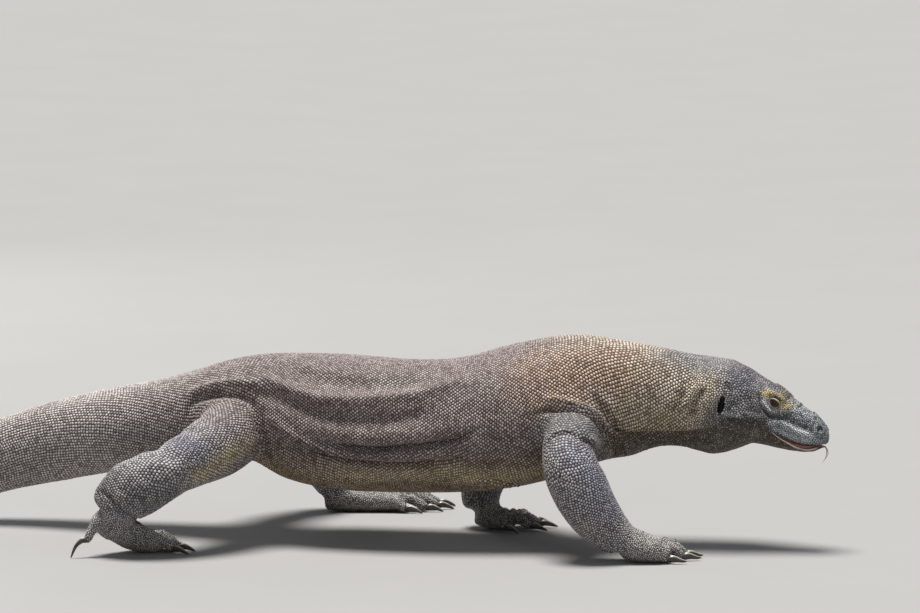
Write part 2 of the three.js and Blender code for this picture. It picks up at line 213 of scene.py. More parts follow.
ground = bmesh.new()
bmesh.ops.create_grid(ground, x_segments=1, y_segments=1, size=FLOOR_REACH)
floor = linked("floor", meshed("floor", ground))
floor_paint = Material("floor_paint", 0.75, 0.3)
floor_paint.colour(
    floor_paint.mix(floor_paint.grain(3.0), (0.285, 0.28, 0.272), (0.30, 0.295, 0.287))
)
floor.data.materials.append(floor_paint.made)


# ---- Hide -----------------------------------------------------------------------------------
# One skin over the whole animal. It is cast from the flesh of every part, faired until no seam
# or flat shows, creased where the living skin folds, and drawn in by the depth of the scales.

FLESH = (
    "tail_tip", "tail_rear", "tail_middle", "tail_base", "hips", "belly", "chest", "neck",
    "head", "lower_jaw", "upper_arm_right", "forearm_right", "hand_right",
    "upper_arm_left", "forearm_left", "hand_left", "thigh_right", "shank_right", "foot_right",
    "thigh_left", "shank_left", "foot_left",
)
FRONT_FLESH = ("neck", "head", "lower_jaw")
CAST_OVERLAP = 0.0005
BODY_WEAVE = 0.004
HEAD_WEAVE = 0.0019
# The head's own frame, at the ear: x runs to the snout, y to the left and z to the crown.
HEAD_AT = Vector((1.059, -0.149, 0.290))
HEAD_TURN = Matrix.Rotation(math.radians(-18), 3, "Z") @ Matrix.Rotation(math.radians(22), 3, "Y")
MILLIMETRE = 0.001


def points_of(mesh, kind="vertices", field="co"):
    held = np.empty(len(getattr(mesh, kind)) * 3, np.float32)
    getattr(mesh, kind).foreach_get(field, held)
    return held.reshape(-1, 3).astype(float)


def normals_of(mesh):
    return points_of(mesh, "vertex_normals", "vector")


def move_points(mesh, co):
    mesh.vertices.foreach_set("co", co.astype(np.float32).ravel())
    mesh.update()


def applied(owner):
    """The owner's mesh with its modifiers worked in. The owner itself is removed."""
    seen = owner.evaluated_get(bpy.context.evaluated_depsgraph_get())
    mesh = bpy.data.meshes.new_from_object(seen)
    bpy.data.objects.remove(owner)
    return mesh


def flesh_of(nodes, grow):
    """The solids of the parts in one shape, each grown a little so that they overlap."""
    whole = bmesh.new()
    for name in nodes:
        piece = bmesh.new()
        piece.from_mesh(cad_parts[name].data)
        bmesh.ops.remove_doubles(piece, verts=piece.verts, dist=1e-5)
        bmesh.ops.recalc_face_normals(piece, faces=piece.faces)
        piece.normal_update()
        for v in piece.verts:
            v.co += v.normal * grow
        mesh = meshed(name + "_flesh", piece)
        whole.from_mesh(mesh)
        bpy.data.meshes.remove(mesh)
    return whole


def cast(name, nodes, weave):
    """One closed mesh round the parts, woven in squares of the width given."""
    owner = linked(name, meshed(name, flesh_of(nodes, CAST_OVERLAP)))
    remesh = owner.modifiers.new("weave", "REMESH")
    remesh.mode = "VOXEL"
    remesh.voxel_size = weave
    return applied(owner)


body_cast = cast("body_cast", FLESH, BODY_WEAVE)
head_cast = cast("head_cast", FRONT_FLESH, HEAD_WEAVE)

# How far each part is faired, as the reach in metres over which flats are evened out.
FAIRING = {
    "tail_tip": 0.002, "tail_rear": 0.006, "tail_middle": 0.011, "tail_base": 0.016,
    "hips": 0.02, "belly": 0.022, "chest": 0.022, "neck": 0.018, "head": 0.0045,
    "lower_jaw": 0.0045, "upper_arm": 0.012, "forearm": 0.009, "hand": 0.0028,
    "thigh": 0.013, "shank": 0.0085, "foot": 0.0028,
}
# Where the limbs leave the trunk, and the heels of the hands and feet. Both are faired further,
# within a reach, so that they round off.
LIMB_ROOTS = (
    (0.750, -0.215, 0.250), (0.675, 0.020, 0.250), (0.080, -0.130, 0.215), (0.105, 0.120, 0.240),
)
LIMB_ROOT_REACH, LIMB_ROOT_FAIRING = 0.075, 0.017
HEELS = (
    (0.850, -0.347, 0.022), (0.572, 0.067, 0.020), (-0.160, -0.275, 0.070), (0.27, 0.295, 0.02),
)
HEEL_REACH, HEEL_FAIRING = 0.045, 0.012
FAIRING_BLEND = 24
LOOKUP_CELL = 0.009
# Places on the head, with their reach in millimetres, where edges stay crisp: eye, ear, nostril
# and lips.
FINE_PLACES = (
    ((103, 40, 50), (14, 14, 13)), ((15, 82, 12), (10, 20, 28)), ((208, 29, 39), (10, 10, 9)),
    ((130, 44, -6), (20, 14, 9)), ((160, 39, -10), (20, 14, 9)), ((190, 32, -9), (20, 18, 10)),
    ((212, 18, 0), (18, 24, 12)),
)
# The share of the fairing that these lose, over their whole reach.
CRISPNESS, CRISP_SPREAD = 0.86, 1.6


def part_finder(nodes):
    """Looks up which part of the flesh is nearest to a point."""
    corners, faces, owners = [], [], []
    for index, name in enumerate(nodes):
        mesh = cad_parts[name].data
        start = len(corners)
        corners.extend(tuple(v.co) for v in mesh.vertices)
        for face in mesh.polygons:
            faces.append([start + i for i in face.vertices])
            owners.append(index)
    tree = BVHTree.FromPolygons(corners, faces)

    def find(places):
        return np.array([owners[tree.find_nearest(p)[2]] for p in places])

    return find


def neighbours_of(mesh):
    """Both ends of every edge, once from each end."""
    edges = np.empty(len(mesh.edges) * 2, np.int64)
    mesh.edges.foreach_get("vertices", edges)
    a, b = edges.reshape(-1, 2).T
    return np.concatenate([a, b]), np.concatenate([b, a])


def averaged(values, ends, others, count):
    total = np.stack([np.bincount(ends, values[others, k], count) for k in range(values.shape[1])], 1)
    return total / np.maximum(np.bincount(ends, minlength=count), 1)[:, None]


def faired(mesh, reach):
    """Evens out the mesh over `reach`, which is given for each of its vertices."""
    co = points_of(mesh)
    ends, others = neighbours_of(mesh)
    step = float(np.linalg.norm(co[ends] - co[others], axis=1).mean())
    wanted = 2 * (reach / step) ** 2
    rounds = int(math.ceil(wanted.max()))
    share = (wanted / rounds)[:, None]
    for _ in range(rounds):
        co += share * (averaged(co, ends, others, len(co)) - co)
    move_points(mesh, co)


def evened(values, mesh, rounds):
    """Values at the mesh's points, blended with their neighbours'."""
    ends, others = neighbours_of(mesh)
    held = values.reshape(len(values), -1).astype(float)
    for _ in range(rounds):
        held = 0.5 * held + 0.5 * averaged(held, ends, others, len(held))
    return held.reshape(values.shape)


def in_head(points):
    return (np.asarray(points, float) - np.array(HEAD_AT)) @ np.array(HEAD_TURN)


def mirrored(places):
    """Places in the head's frame, all brought to its left side."""
    return np.stack([places[:, 0], np.abs(places[:, 1]), places[:, 2]], 1)


def swell(points, at, reach):
    """One at a place, fading to nothing past its reach along each direction."""
    return np.exp(-(((points - np.array(at)) / np.array(reach)) ** 2).sum(1))


def fairing_for(mesh, nodes, find):
    """How far each point of a cast is faired."""
    names = [n.removesuffix("_right").removesuffix("_left") for n in nodes]
    co = points_of(mesh)
    cells = np.round(co / LOOKUP_CELL).astype(int)
    _, first, cell = np.unique(cells, axis=0, return_index=True, return_inverse=True)
    owner = find(co[first])[cell.ravel()]
    reach = np.array([FAIRING[n] for n in names])[owner]
    for root in LIMB_ROOTS:
        reach = np.maximum(reach, LIMB_ROOT_FAIRING * swell(co, root, [LIMB_ROOT_REACH] * 3))
    for heel in HEELS:
        reach = np.maximum(reach, HEEL_FAIRING * swell(co, heel, [HEEL_REACH] * 3))
    reach = evened(reach, mesh, FAIRING_BLEND)
    local = mirrored(in_head(co))
    for place, wide in FINE_PLACES:
        near = swell(local, [c / 1000 for c in place], [c / 1000 for c in wide])
        reach *= 1 - CRISPNESS * np.clip(CRISP_SPREAD * near, 0, 1)
    return reach


find_part = part_finder(FLESH)
body_reach = fairing_for(body_cast, FLESH, find_part)
faired(body_cast, body_reach)
faired(head_cast, fairing_for(head_cast, FRONT_FLESH, part_finder(FRONT_FLESH)))

# The axis of the body, from the tip of the tail into the head, and of each limb, from the trunk
# into its paw, as points inside them. Places on the hide are then told by the distance along an
# axis and the turn round it, in degrees from its upper side towards the right.
BODY_AXIS = (
    (-1.266, -0.111, 0.006), (-1.166, -0.069, 0.011), (-1.026, -0.005, 0.019),
    (-0.866, 0.071, 0.029), (-0.706, 0.129, 0.044), (-0.546, 0.157, 0.082),
    (-0.386, 0.149, 0.141), (-0.266, 0.121, 0.177), (-0.156, 0.083, 0.206),
    (-0.056, 0.051, 0.224), (0.034, 0.021, 0.238), (0.124, -0.009, 0.250),
    (0.204, -0.033, 0.240), (0.304, -0.061, 0.232), (0.424, -0.087, 0.230),
    (0.544, -0.107, 0.232), (0.644, -0.120, 0.242), (0.734, -0.127, 0.264),
    (0.802, -0.130, 0.283), (0.869, -0.132, 0.296), (0.936, -0.135, 0.298),
    (0.996, -0.140, 0.292), (1.056, -0.150, 0.281), (1.110, -0.166, 0.266),
)
LEG_AXES = {
    "arm_right": (
        (0.784, -0.181, 0.262), (0.760, -0.246, 0.246), (0.746, -0.303, 0.224),
        (0.750, -0.337, 0.188), (0.768, -0.347, 0.150), (0.788, -0.350, 0.110),
        (0.818, -0.349, 0.072), (0.854, -0.347, 0.040), (0.914, -0.341, 0.024),
    ),
    "arm_left": (
        (0.704, -0.041, 0.262), (0.682, 0.009, 0.244), (0.642, 0.053, 0.212),
        (0.610, 0.073, 0.168), (0.588, 0.077, 0.116), (0.576, 0.075, 0.074),
        (0.572, 0.067, 0.038), (0.640, 0.079, 0.018),
    ),
    "leg_right": (
        (0.098, -0.041, 0.240), (0.084, -0.101, 0.226), (0.052, -0.171, 0.204),
        (0.006, -0.229, 0.186), (-0.044, -0.265, 0.168), (-0.096, -0.279, 0.141),
        (-0.137, -0.281, 0.112), (-0.162, -0.278, 0.086), (-0.150, -0.268, 0.060),
        (-0.120, -0.247, 0.038), (-0.066, -0.211, 0.019),
    ),
    "leg_left": (
        (0.094, 0.049, 0.246), (0.114, 0.109, 0.242), (0.144, 0.179, 0.226),
        (0.182, 0.237, 0.200), (0.218, 0.271, 0.160), (0.246, 0.287, 0.112),
        (0.266, 0.293, 0.072), (0.274, 0.295, 0.042), (0.410, 0.303, 0.022),
    ),
}
AXIS_STEP = 0.004
CURVE_POINTS = 24
HEADING_ROUNDS = 10


def smooth_line(points, step):
    """Points at even steps along the round curve through the points given, and their distances."""
    given = np.array(points, float)
    ends = np.vstack([2 * given[0] - given[1], given, 2 * given[-1] - given[-2]])
    line = []
    for a, b, c, d in zip(ends, ends[1:], ends[2:], ends[3:]):
        for t in np.linspace(0, 1, CURVE_POINTS, endpoint=False):
            line.append(
                0.5 * (2 * b + (c - a) * t + (2 * a - 5 * b + 4 * c - d) * t * t
                       + (3 * b - a - 3 * c + d) * t ** 3)
            )
    line = np.vstack([line, given[-1]])
    run = np.concatenate([[0], np.cumsum(np.linalg.norm(np.diff(line, axis=0), axis=1))])
    even = np.linspace(0, run[-1], max(2, int(run[-1] / step)))
    return np.stack([np.interp(even, run, line[:, k]) for k in range(3)], 1), even


def unit(vectors):
    return vectors / np.maximum(np.linalg.norm(vectors, axis=-1, keepdims=True), 1e-12)


def tree_for(spots):
    tree = KDTree(len(spots))
    for i, p in enumerate(spots):
        tree.insert(p, i)
    tree.balance()
    return tree


def tree_of(mesh):
    co = points_of(mesh)
    return BVHTree.FromPolygons(co.tolist(), [tuple(p.vertices) for p in mesh.polygons])


class Axis:
    """A smooth line inside the animal, with a heading, a right and an up at each point."""

    def __init__(self, points, up=(0, 0, 1)):
        self.line, self.run = smooth_line(points, AXIS_STEP)
        self.length = self.run[-1]
        heading = np.gradient(self.line, axis=0)
        for _ in range(HEADING_ROUNDS):
            heading[1:-1] = (heading[:-2] + 2 * heading[1:-1] + heading[2:]) / 4
        self.heading = unit(heading)
        self.right = unit(np.cross(self.heading, np.array(up, float)))
        self.up = np.cross(self.right, self.heading)
        self.tree = tree_for(self.line)

    def nearest(self, points):
        return np.array([self.tree.find(p)[1] for p in points])

    def locate(self, points):
        """The distance along the axis and the turn round it of each point."""
        near = self.nearest(points)
        off = points - self.line[near]
        along = self.run[near] + (off * self.heading[near]).sum(1)
        turn = np.degrees(np.arctan2((off * self.right[near]).sum(1), (off * self.up[near]).sum(1)))
        return along, turn

    def hit(self, tree, along, turn):
        """Where a line from the axis meets the hide, or nothing where it misses."""
        def read(field):
            return np.array([np.interp(along, self.run, field[:, k]) for k in range(3)])
        angle = math.radians(turn)
        way = math.sin(angle) * unit(read(self.right)) + math.cos(angle) * unit(read(self.up))
        return tree.ray_cast(Vector(read(self.line)), Vector(way))[0]


body_axis = Axis(BODY_AXIS)
leg_axes = {name: Axis(points) for name, points in LEG_AXES.items()}

# Folds of the trunk as (metres along the body, turn in degrees), on the right and mirrored on
# the left. Depth and reach are in millimetres, and a negative depth is a swelling.
BODY_FOLDS = (
    # hollow under the back, and the long roll below it from the hip to the shoulder blade
    (((1.54, 30), (1.60, 39), (1.66, 45), (1.72, 47), (1.79, 46), (1.85, 41), (1.90, 34)), 8.0, 22),
    (((1.46, 50), (1.53, 50), (1.578, 54), (1.622, 58), (1.664, 61), (1.714, 61), (1.764, 60),
      (1.821, 57), (1.869, 53), (1.909, 47), (1.95, 40), (2.0, 33)), -8.0, 14),
    (((1.50, 63), (1.554, 63), (1.604, 68), (1.638, 73), (1.673, 76), (1.718, 78), (1.767, 78),
      (1.815, 76), (1.843, 74), (1.882, 70), (1.922, 64)), 10.0, 16),
    # upper flank, hanging over the first sharp crease
    (((1.62, 84), (1.68, 88), (1.75, 90), (1.82, 89), (1.89, 85), (1.95, 79)), -5.0, 14),
    (((1.663, 97), (1.691, 97), (1.72, 98), (1.749, 99), (1.787, 99), (1.826, 97), (1.863, 95),
      (1.902, 93), (1.936, 91), (1.96, 86), (1.985, 82)), 14.0, 6.0),
    # roll from the groin along the flank, over the second crease and the hollow under it
    (((1.545, 74), (1.571, 84), (1.602, 91), (1.634, 96), (1.663, 101), (1.691, 104),
      (1.749, 105), (1.825, 105), (1.882, 102), (1.939, 98)), -7.0, 9),
    (((1.625, 99), (1.65, 103), (1.673, 107), (1.691, 110), (1.719, 112), (1.747, 112),
      (1.786, 113), (1.823, 113), (1.861, 112), (1.91, 109), (1.95, 104)), 15.0, 7.0),
    (((1.59, 106), (1.634, 108), (1.663, 112), (1.681, 116), (1.717, 119), (1.765, 119)), 6.0, 12),
    (((1.575, 104), (1.592, 115), (1.615, 124), (1.639, 131), (1.675, 135), (1.722, 134),
      (1.772, 128), (1.812, 121)), -5.0, 13),
    # the hip hangs over the root of the thigh, down to the groin
    (((1.373, 69), (1.396, 58), (1.432, 54), (1.474, 54), (1.506, 55), (1.537, 58),
      (1.565, 66)), -7.0, 10),
    (((1.38, 86), (1.392, 76), (1.407, 68), (1.433, 65), (1.477, 66), (1.509, 69), (1.53, 76),
      (1.545, 88), (1.562, 105), (1.572, 123)), 11.0, 7.5),
    # flap of loose skin behind the arm, and the shaded hollow over it
    (((1.965, 132), (1.99, 140), (2.02, 150)), -6.0, 6),
    (((1.95, 126), (1.98, 133), (2.01, 141)), 4.0, 8),
    (((1.974, 89), (2.014, 93), (2.049, 95), (2.082, 99)), 5.0, 9),
    # shoulder: a roll over the crease round the arm, and slack grey skin inside it
    (((2.095, 67), (2.118, 68), (2.139, 71), (2.159, 76), (2.181, 82), (2.197, 90), (2.209, 104),
      (2.217, 127)), -5.5, 6.5),
    (((2.075, 78), (2.107, 78), (2.126, 79), (2.157, 82), (2.184, 89), (2.198, 99), (2.205, 114),
      (2.208, 134)), 10.0, 6.0),
    (((2.144, 87), (2.164, 92), (2.178, 102), (2.184, 120), (2.184, 140)), -7.0, 11),
    # crease before the shoulder, running on as the edge of the throat
    (((2.205, 73), (2.211, 84), (2.217, 95), (2.224, 106), (2.235, 117), (2.252, 123)), 7.0, 5.5),
    (((2.222, 78), (2.230, 94), (2.240, 108), (2.256, 116)), -3.5, 8),
    (((2.235, 119), (2.284, 129), (2.331, 132), (2.379, 130), (2.425, 122), (2.465, 112)), 6.0, 8),
    (((2.25, 112), (2.29, 120), (2.34, 123), (2.39, 121), (2.43, 112)), -4.5, 12),
    # neck, behind the ear
    (((2.398, 60), (2.392, 78), (2.38, 96)), -4.5, 7.5),
    (((2.415, 62), (2.408, 80), (2.396, 100)), 5.0, 5.5),
    (((2.376, 68), (2.368, 86), (2.352, 104)), 4.0, 6),
    (((2.352, 74), (2.344, 92), (2.328, 110)), -3.0, 7),
    # throat: slack folds below the jaw
    (((2.27, 142), (2.33, 150), (2.40, 150)), 2.4, 6),
    (((2.26, 163), (2.34, 166), (2.42, 165)), 2.4, 6),
)
# Creases of the right arm and leg, as (metres along it, turn), depth and reach in millimetres.
LEG_FOLDS = {
    "arm_right": (
        (((0.205, -70), (0.215, -100), (0.205, -130)), 3.0, 6),
        (((0.225, -75), (0.235, -105), (0.225, -135)), 1.6, 5),
        (((0.405, 10), (0.41, 60), (0.405, 110)), 2.6, 5),
        (((0.43, 10), (0.435, 60), (0.43, 110)), -1.8, 7),
    ),
    "leg_right": (
        # hollow of the knee, and the calf and heel filling out behind it
        (((0.276, -70), (0.286, -30), (0.286, 20), (0.276, 60)), 8.0, 19),
        (((0.335, -10), (0.37, 0), (0.41, 0), (0.445, 0)), -8.0, 26),
        (((0.21, 10), (0.18, 20), (0.15, 30)), -4.0, 24),
        (((0.475, 70), (0.50, 95), (0.52, 120)), 4.0, 5),
        (((0.50, 60), (0.53, 92), (0.55, 120)), 2.4, 4),
        (((0.26, -150), (0.27, 180), (0.26, 150)), 4.0, 7),
    ),
}
# Folds of the right side only, through places in the frame. Depth and reach are in millimetres.
RIGHT_FOLDS = (
    # top of the arm, under the slack skin of the shoulder
    (((0.697, -0.334, 0.217), (0.703, -0.332, 0.235), (0.715, -0.335, 0.249), (0.734, -0.34, 0.257),
      (0.758, -0.344, 0.254), (0.782, -0.344, 0.24), (0.80, -0.30, 0.215)), 6.0, 5.5),
    # the last fold before the throat hangs free, with a dark gap behind it
    (((0.838, -0.235, 0.262), (0.845, -0.229, 0.245), (0.853, -0.215, 0.223), (0.862, -0.192, 0.20),
      (0.866, -0.165, 0.185)), -7.0, 9),
    (((0.823, -0.24, 0.243), (0.833, -0.22, 0.22), (0.84, -0.195, 0.196), (0.842, -0.16, 0.18)),
     8.0, 6),
    # the calf hangs over the heel
    (((-0.151, -0.319, 0.139), (-0.127, -0.329, 0.123), (-0.102, -0.321, 0.101),
      (-0.078, -0.295, 0.089)), -4.0, 9),
    (((-0.178, -0.30, 0.142), (-0.17, -0.305, 0.133), (-0.153, -0.322, 0.118),
      (-0.134, -0.322, 0.098), (-0.113, -0.306, 0.081), (-0.098, -0.246, 0.062)), 7.5, 5.0),
    # flap behind the arm
    (((0.588, -0.212, 0.139), (0.623, -0.197, 0.132), (0.659, -0.162, 0.124)), -4.0, 5),
)
# Each paw has a groove between neighbouring digits and a swelling over each: depth and reach in
# metres, and how much of the way back to the middle of the palm they run.
PAWS = ("hand_right", "hand_left", "foot_right", "foot_left")
PAW_TOP = 0.055
GROOVE = (0.010, 0.0056, 0.85)
KNUCKLE = (-0.0034, 0.0062, 0.7)
# Digits farther apart than this have no groove between them. A claw starts at the corners of its
# solid that are nearest to the palm, of which this many are taken.
SPREAD_LIMIT = 0.065
CLAW_ROOT = 6
PAW_POINTS = 6
# The face, as lines (x, y, z) in the head's own frame in millimetres: x runs from the ear to
# the snout, y out to the side and z to the crown. Each is mirrored on the other side.
FACE_FOLDS = (
    # the crown rises over the brows and the bridge of the snout dips before them
    (((78, 13, 79), (94, 15, 78), (110, 17, 73), (124, 16, 68)), -3.2, 15),
    (((146, 9, 65), (160, 9, 62), (176, 9, 58)), 2.4, 13),
    # brow shelf over the eye
    (((78, 41, 66), (90, 41, 69), (104, 40, 71), (118, 38, 70), (130, 36, 64)), -4.6, 5.5),
    # crease of the orbit, behind the eye, under it and up before it
    (((71, 48, 68), (74, 50, 55), (82, 53, 41), (94, 54, 31), (109, 52, 24), (125, 49, 27),
      (141, 46, 37), (149, 42, 49)), 5.2, 3.2),
    # lower lid and the bag under it, with a finer crease between
    (((80, 50, 49), (87, 51, 42), (98, 50, 37), (111, 48, 36), (122, 46, 41)), -2.6, 3.2),
    (((84, 52, 37), (96, 52, 33), (110, 50, 30), (124, 48, 33)), 1.5, 2.2),
    (((92, 53, 30), (108, 51, 28), (124, 48, 31)), -1.4, 3),
    # swelling before the eye
    (((120, 41, 54), (128, 40, 56), (136, 39, 54)), -1.8, 6),
    # shadowed hollow of the snout over the lit ridge of the upper lip
    (((129, 46, 33), (151, 43, 30), (172, 40, 30), (190, 36, 31)), 3.6, 6),
    (((109, 50, 12), (126, 48, 20), (140, 46, 21), (156, 44, 19), (175, 41, 18), (195, 37, 20),
      (206, 33, 24)), -3.4, 6),
    (((118, 47, 4), (140, 43, 2), (165, 40, 1), (188, 35, 5), (204, 28, 9)), 1.3, 3.5),
    # ridge from the brow to the nostril
    (((140, 32, 58), (160, 30, 56), (180, 28, 53), (198, 27, 49)), -1.8, 6),
    # the cheek overhangs the jaw from the ear to the corner of the mouth
    (((30, 79, 4), (50, 76, 8), (74, 70, 12), (98, 62, 15), (112, 55, 14)), -3.4, 9),
    (((28, 79, -12), (36, 79, -9), (66, 72, -1), (88, 67, 4), (104, 59, 5), (115, 52, 3)), 4.6, 4.2),
    (((70, 64, -22), (88, 58, -15), (106, 51, -10), (124, 45, -13)), 1.8, 4),
    (((64, 70, 22), (80, 66, 24), (94, 60, 22)), 1.6, 3.5),
    # temple, with a crease up from the ear
    (((3, 71, 60), (12, 75, 52), (20, 77, 45)), 2.4, 3.5),
    (((36, 74, 34), (52, 69, 40), (66, 63, 44)), 2.2, 8),
    (((68, 58, 44), (74, 58, 36), (70, 62, 30)), -1.6, 5),
    # rims of the ear
    (((25, 78, 32), (27, 79, 14), (27, 80, -6)), -2.8, 4.5),
    (((2, 82, 34), (-2, 84, 14), (3, 84, -12)), -2.2, 5),
    # the nostril, and its rim
    (((205, 29, 40), (213, 26, 43)), 5.0, 5.0),
    (((196, 34, 46), (205, 31, 51), (215, 26, 49), (221, 22, 41), (215, 28, 32), (202, 33, 31)), -1.8, 3.2),
)
# How much of a fold's length it fades over at each end, and the depth, as a share of the reach,
# from which a fold is a sharp crease with painted shade along it.
FOLD_FADE, FACE_FADE, PAW_FADE = 0.22, 0.15, 0.12
SHARP = 0.9
FOLD_STEP, FACE_STEP, PAW_STEP = 0.004, 0.002, 0.003
# The head's own mesh takes the folds of the trunk that reach past this distance.
HEAD_FOLDS_FROM = 2.4
FOLD_CUTOFF = 3


def pushed(co, normal, line, depth, reach, fade):
    """Moves points near a line in or out, fading towards the line's ends."""
    edge = FOLD_CUTOFF * reach
    low, high = line.min(0) - edge, line.max(0) + edge
    near = np.flatnonzero(((co > low) & (co < high)).all(1))
    best = np.full(len(near), np.inf)
    share = np.zeros(len(near))
    step = line[1:] - line[:-1]
    for i, (start, way) in enumerate(zip(line, step)):
        t = np.clip(((co[near] - start) @ way) / max(way @ way, 1e-12), 0, 1)
        gap = np.linalg.norm(co[near] - start - t[:, None] * way, axis=1)
        closer = gap < best
        best[closer] = gap[closer]
        share[closer] = (i + t[closer]) / len(step)
    ends = np.clip(np.minimum(share, 1 - share) / fade, 0, 1)
    ends = ends * ends * (3 - 2 * ends)
    co[near] -= normal[near] * (depth * ends * np.exp(-((best / reach) ** 2)))[:, None]


def pressed(mesh, folds, fade):
    """Works folds, as (line, depth, reach) in metres, into the mesh, and gives the places along
    those that are sharp creases."""
    co = points_of(mesh)
    normal = normals_of(mesh)
    sharp = []
    for line, depth, reach in folds:
        pushed(co, normal, line, depth, reach, fade)
        if depth > SHARP * reach:
            sharp.extend(line[1:-1])
    move_points(mesh, co)
    return sharp


def folded(mesh, axis, folds, sides=(1, -1)):
    """Presses in folds that are told by distance along an axis and turn round it."""
    tree = tree_of(mesh)
    lines = []
    for places, depth, reach in folds:
        for side in sides:
            found = [axis.hit(tree, along, side * turn) for along, turn in places]
            met = [p for p in found if p is not None]
            if len(met) > 1:
                lines.append((smooth_line(met, FOLD_STEP)[0], depth / 1000, reach / 1000))
    return pressed(mesh, lines, FOLD_FADE)


def laid(mesh, folds, fade):
    """Presses in folds whose lines run near the mesh, each at the nearest places on it."""
    tree = tree_of(mesh)
    lines = []
    for line, depth, reach in folds:
        on_hide = np.array([tree.find_nearest(Vector(p))[0] for p in line])
        lines.append((on_hide, depth * MILLIMETRE, reach * MILLIMETRE))
    return pressed(mesh, lines, fade)


def face_line(points, side):
    local = np.array([(x, side * y, z) for x, y, z in points], float) * MILLIMETRE
    return smooth_line(local @ np.array(HEAD_TURN).T + np.array(HEAD_AT), FACE_STEP)[0]


def knuckled(mesh):
    """Parts the digits of every paw, from their claws back to the palm."""
    tree = tree_of(mesh)
    lines = []
    for paw in PAWS:
        palm = np.mean(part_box(paw), axis=0)
        roots = []
        for digit in range(1, 6):
            horn = points_of(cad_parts[f"claw_{paw}_{digit}"].data)
            close = np.argsort(np.linalg.norm(horn - palm, axis=1))[:CLAW_ROOT]
            roots.append(horn[close].mean(0))
        clefts = [(a + b) / 2 for a, b in zip(roots, roots[1:]) if np.linalg.norm(a - b) < SPREAD_LIMIT]
        for starts, (depth, reach, back) in ((clefts, GROOVE), (roots, KNUCKLE)):
            for start in starts:
                way = [start + share * (palm - start) for share in np.linspace(0, back, PAW_POINTS)]
                line = [np.array(tree.find_nearest((*p[:2], PAW_TOP))[0]) for p in way]
                lines.append((smooth_line(line, PAW_STEP)[0], depth, reach))
    pressed(mesh, lines, PAW_FADE)


crease_places = folded(body_cast, body_axis, BODY_FOLDS)
front_folds = [f for f in BODY_FOLDS if max(along for along, _ in f[0]) > HEAD_FOLDS_FROM]
crease_places += folded(head_cast, body_axis, front_folds)
for name, folds in LEG_FOLDS.items():
    crease_places += folded(body_cast, leg_axes[name], folds, sides=(1,))
right_folds = [(smooth_line(places, FOLD_STEP)[0], depth, reach) for places, depth, reach in RIGHT_FOLDS]
crease_places += laid(body_cast, right_folds, FOLD_FADE)
knuckled(body_cast)
face_folds = [(face_line(places, side), depth, reach)
              for places, depth, reach in FACE_FOLDS for side in (-1, 1)]
laid(head_cast, face_folds, FACE_FADE)


# How deep the skin lies under the scales, in metres. Finely shaped parts are drawn in less, in
# step with their fairing, and nothing is drawn below the soles.
COAT_DEPTH = 0.0011
HEAD_COAT_DEPTH = 0.0009
FULL_DEPTH_FAIRING = 0.012
LEAST_DEPTH = 0.45
SOLE_CLEAR = 0.0007
# The share of the body's triangles that is kept, and the cut where its mesh meets the finer one
# of the head: distance before the ear, the floor that it stops at, and the gap bridged.
BODY_SHARE = 0.34
NAPE_CUT = -0.012
NAPE_FLOOR = 0.13
NAPE_GAP = 0.004
CUT_REACH = 0.02


def drawn_in(mesh, depth):
    co = points_of(mesh)
    co -= normals_of(mesh) * np.asarray(depth).reshape(-1, 1)
    co[:, 2] = np.maximum(co[:, 2], SOLE_CLEAR)
    move_points(mesh, co)


def thinned(mesh, share):
    owner = linked("thinning", mesh)
    modifier = owner.modifiers.new("thin", "DECIMATE")
    modifier.ratio = share
    return applied(owner)


def parted(mesh, cut, front):
    """The mesh on one side of a plane across the nape, with all that is below the throat."""
    facing = HEAD_TURN @ Vector((1, 0, 0))
    at = HEAD_AT + facing * cut
    piece = bmesh.new()
    piece.from_mesh(mesh)
    near = []
    for f in piece.faces:
        c = f.calc_center_median()
        if c.z > NAPE_FLOOR and abs((c - at).dot(facing)) < CUT_REACH:
            near.append(f)
    touched = near + list({e for f in near for e in f.edges}) + list({v for f in near for v in f.verts})
    bmesh.ops.bisect_plane(piece, geom=touched, dist=1e-6, plane_co=at, plane_no=facing)
    gone = []
    for f in piece.faces:
        c = f.calc_center_median()
        if c.z > NAPE_FLOOR and ((c - at).dot(facing) > 0) != front:
            gone.append(f)
    bmesh.ops.delete(piece, geom=gone, context="FACES")
    return meshed("parted", piece)


depth_share = np.clip(body_reach / FULL_DEPTH_FAIRING, LEAST_DEPTH, 1)
drawn_in(body_cast, (COAT_DEPTH + CAST_OVERLAP) * depth_share)
drawn_in(head_cast, HEAD_COAT_DEPTH)
body_cast = thinned(body_cast, BODY_SHARE)
whole = bmesh.new()
whole.from_mesh(parted(body_cast, NAPE_CUT - NAPE_GAP / 2, front=False))
whole.from_mesh(parted(head_cast, NAPE_CUT + NAPE_GAP / 2, front=True))
bmesh.ops.bridge_loops(whole, edges=[e for e in whole.edges if e.is_boundary])
bmesh.ops.triangulate(whole, faces=whole.faces)
bmesh.ops.recalc_face_normals(whole, faces=whole.faces)
skin_mesh = meshed("skin", whole)
skin = linked("skin", skin_mesh)
skin_tree = tree_of(skin_mesh)
skin_points = points_of(skin_mesh)
skin_owner = find_part(skin_points)

# Where each marking of the hide lies, as shares that the skin and the scales read.
LIMB_PARTS = {
    "arm_right": ("upper_arm_right", "forearm_right", "hand_right"),
    "arm_left": ("upper_arm_left", "forearm_left", "hand_left"),
    "leg_right": ("thigh_right", "shank_right", "foot_right"),
    "leg_left": ("thigh_left", "shank_left", "foot_left"),
}
PART_BLEND = 6  # rounds of evening out at the parts' edges
# How far the painted shade reaches out from the sharp creases, in metres.
CREASE_SHADE_REACH = 0.0055
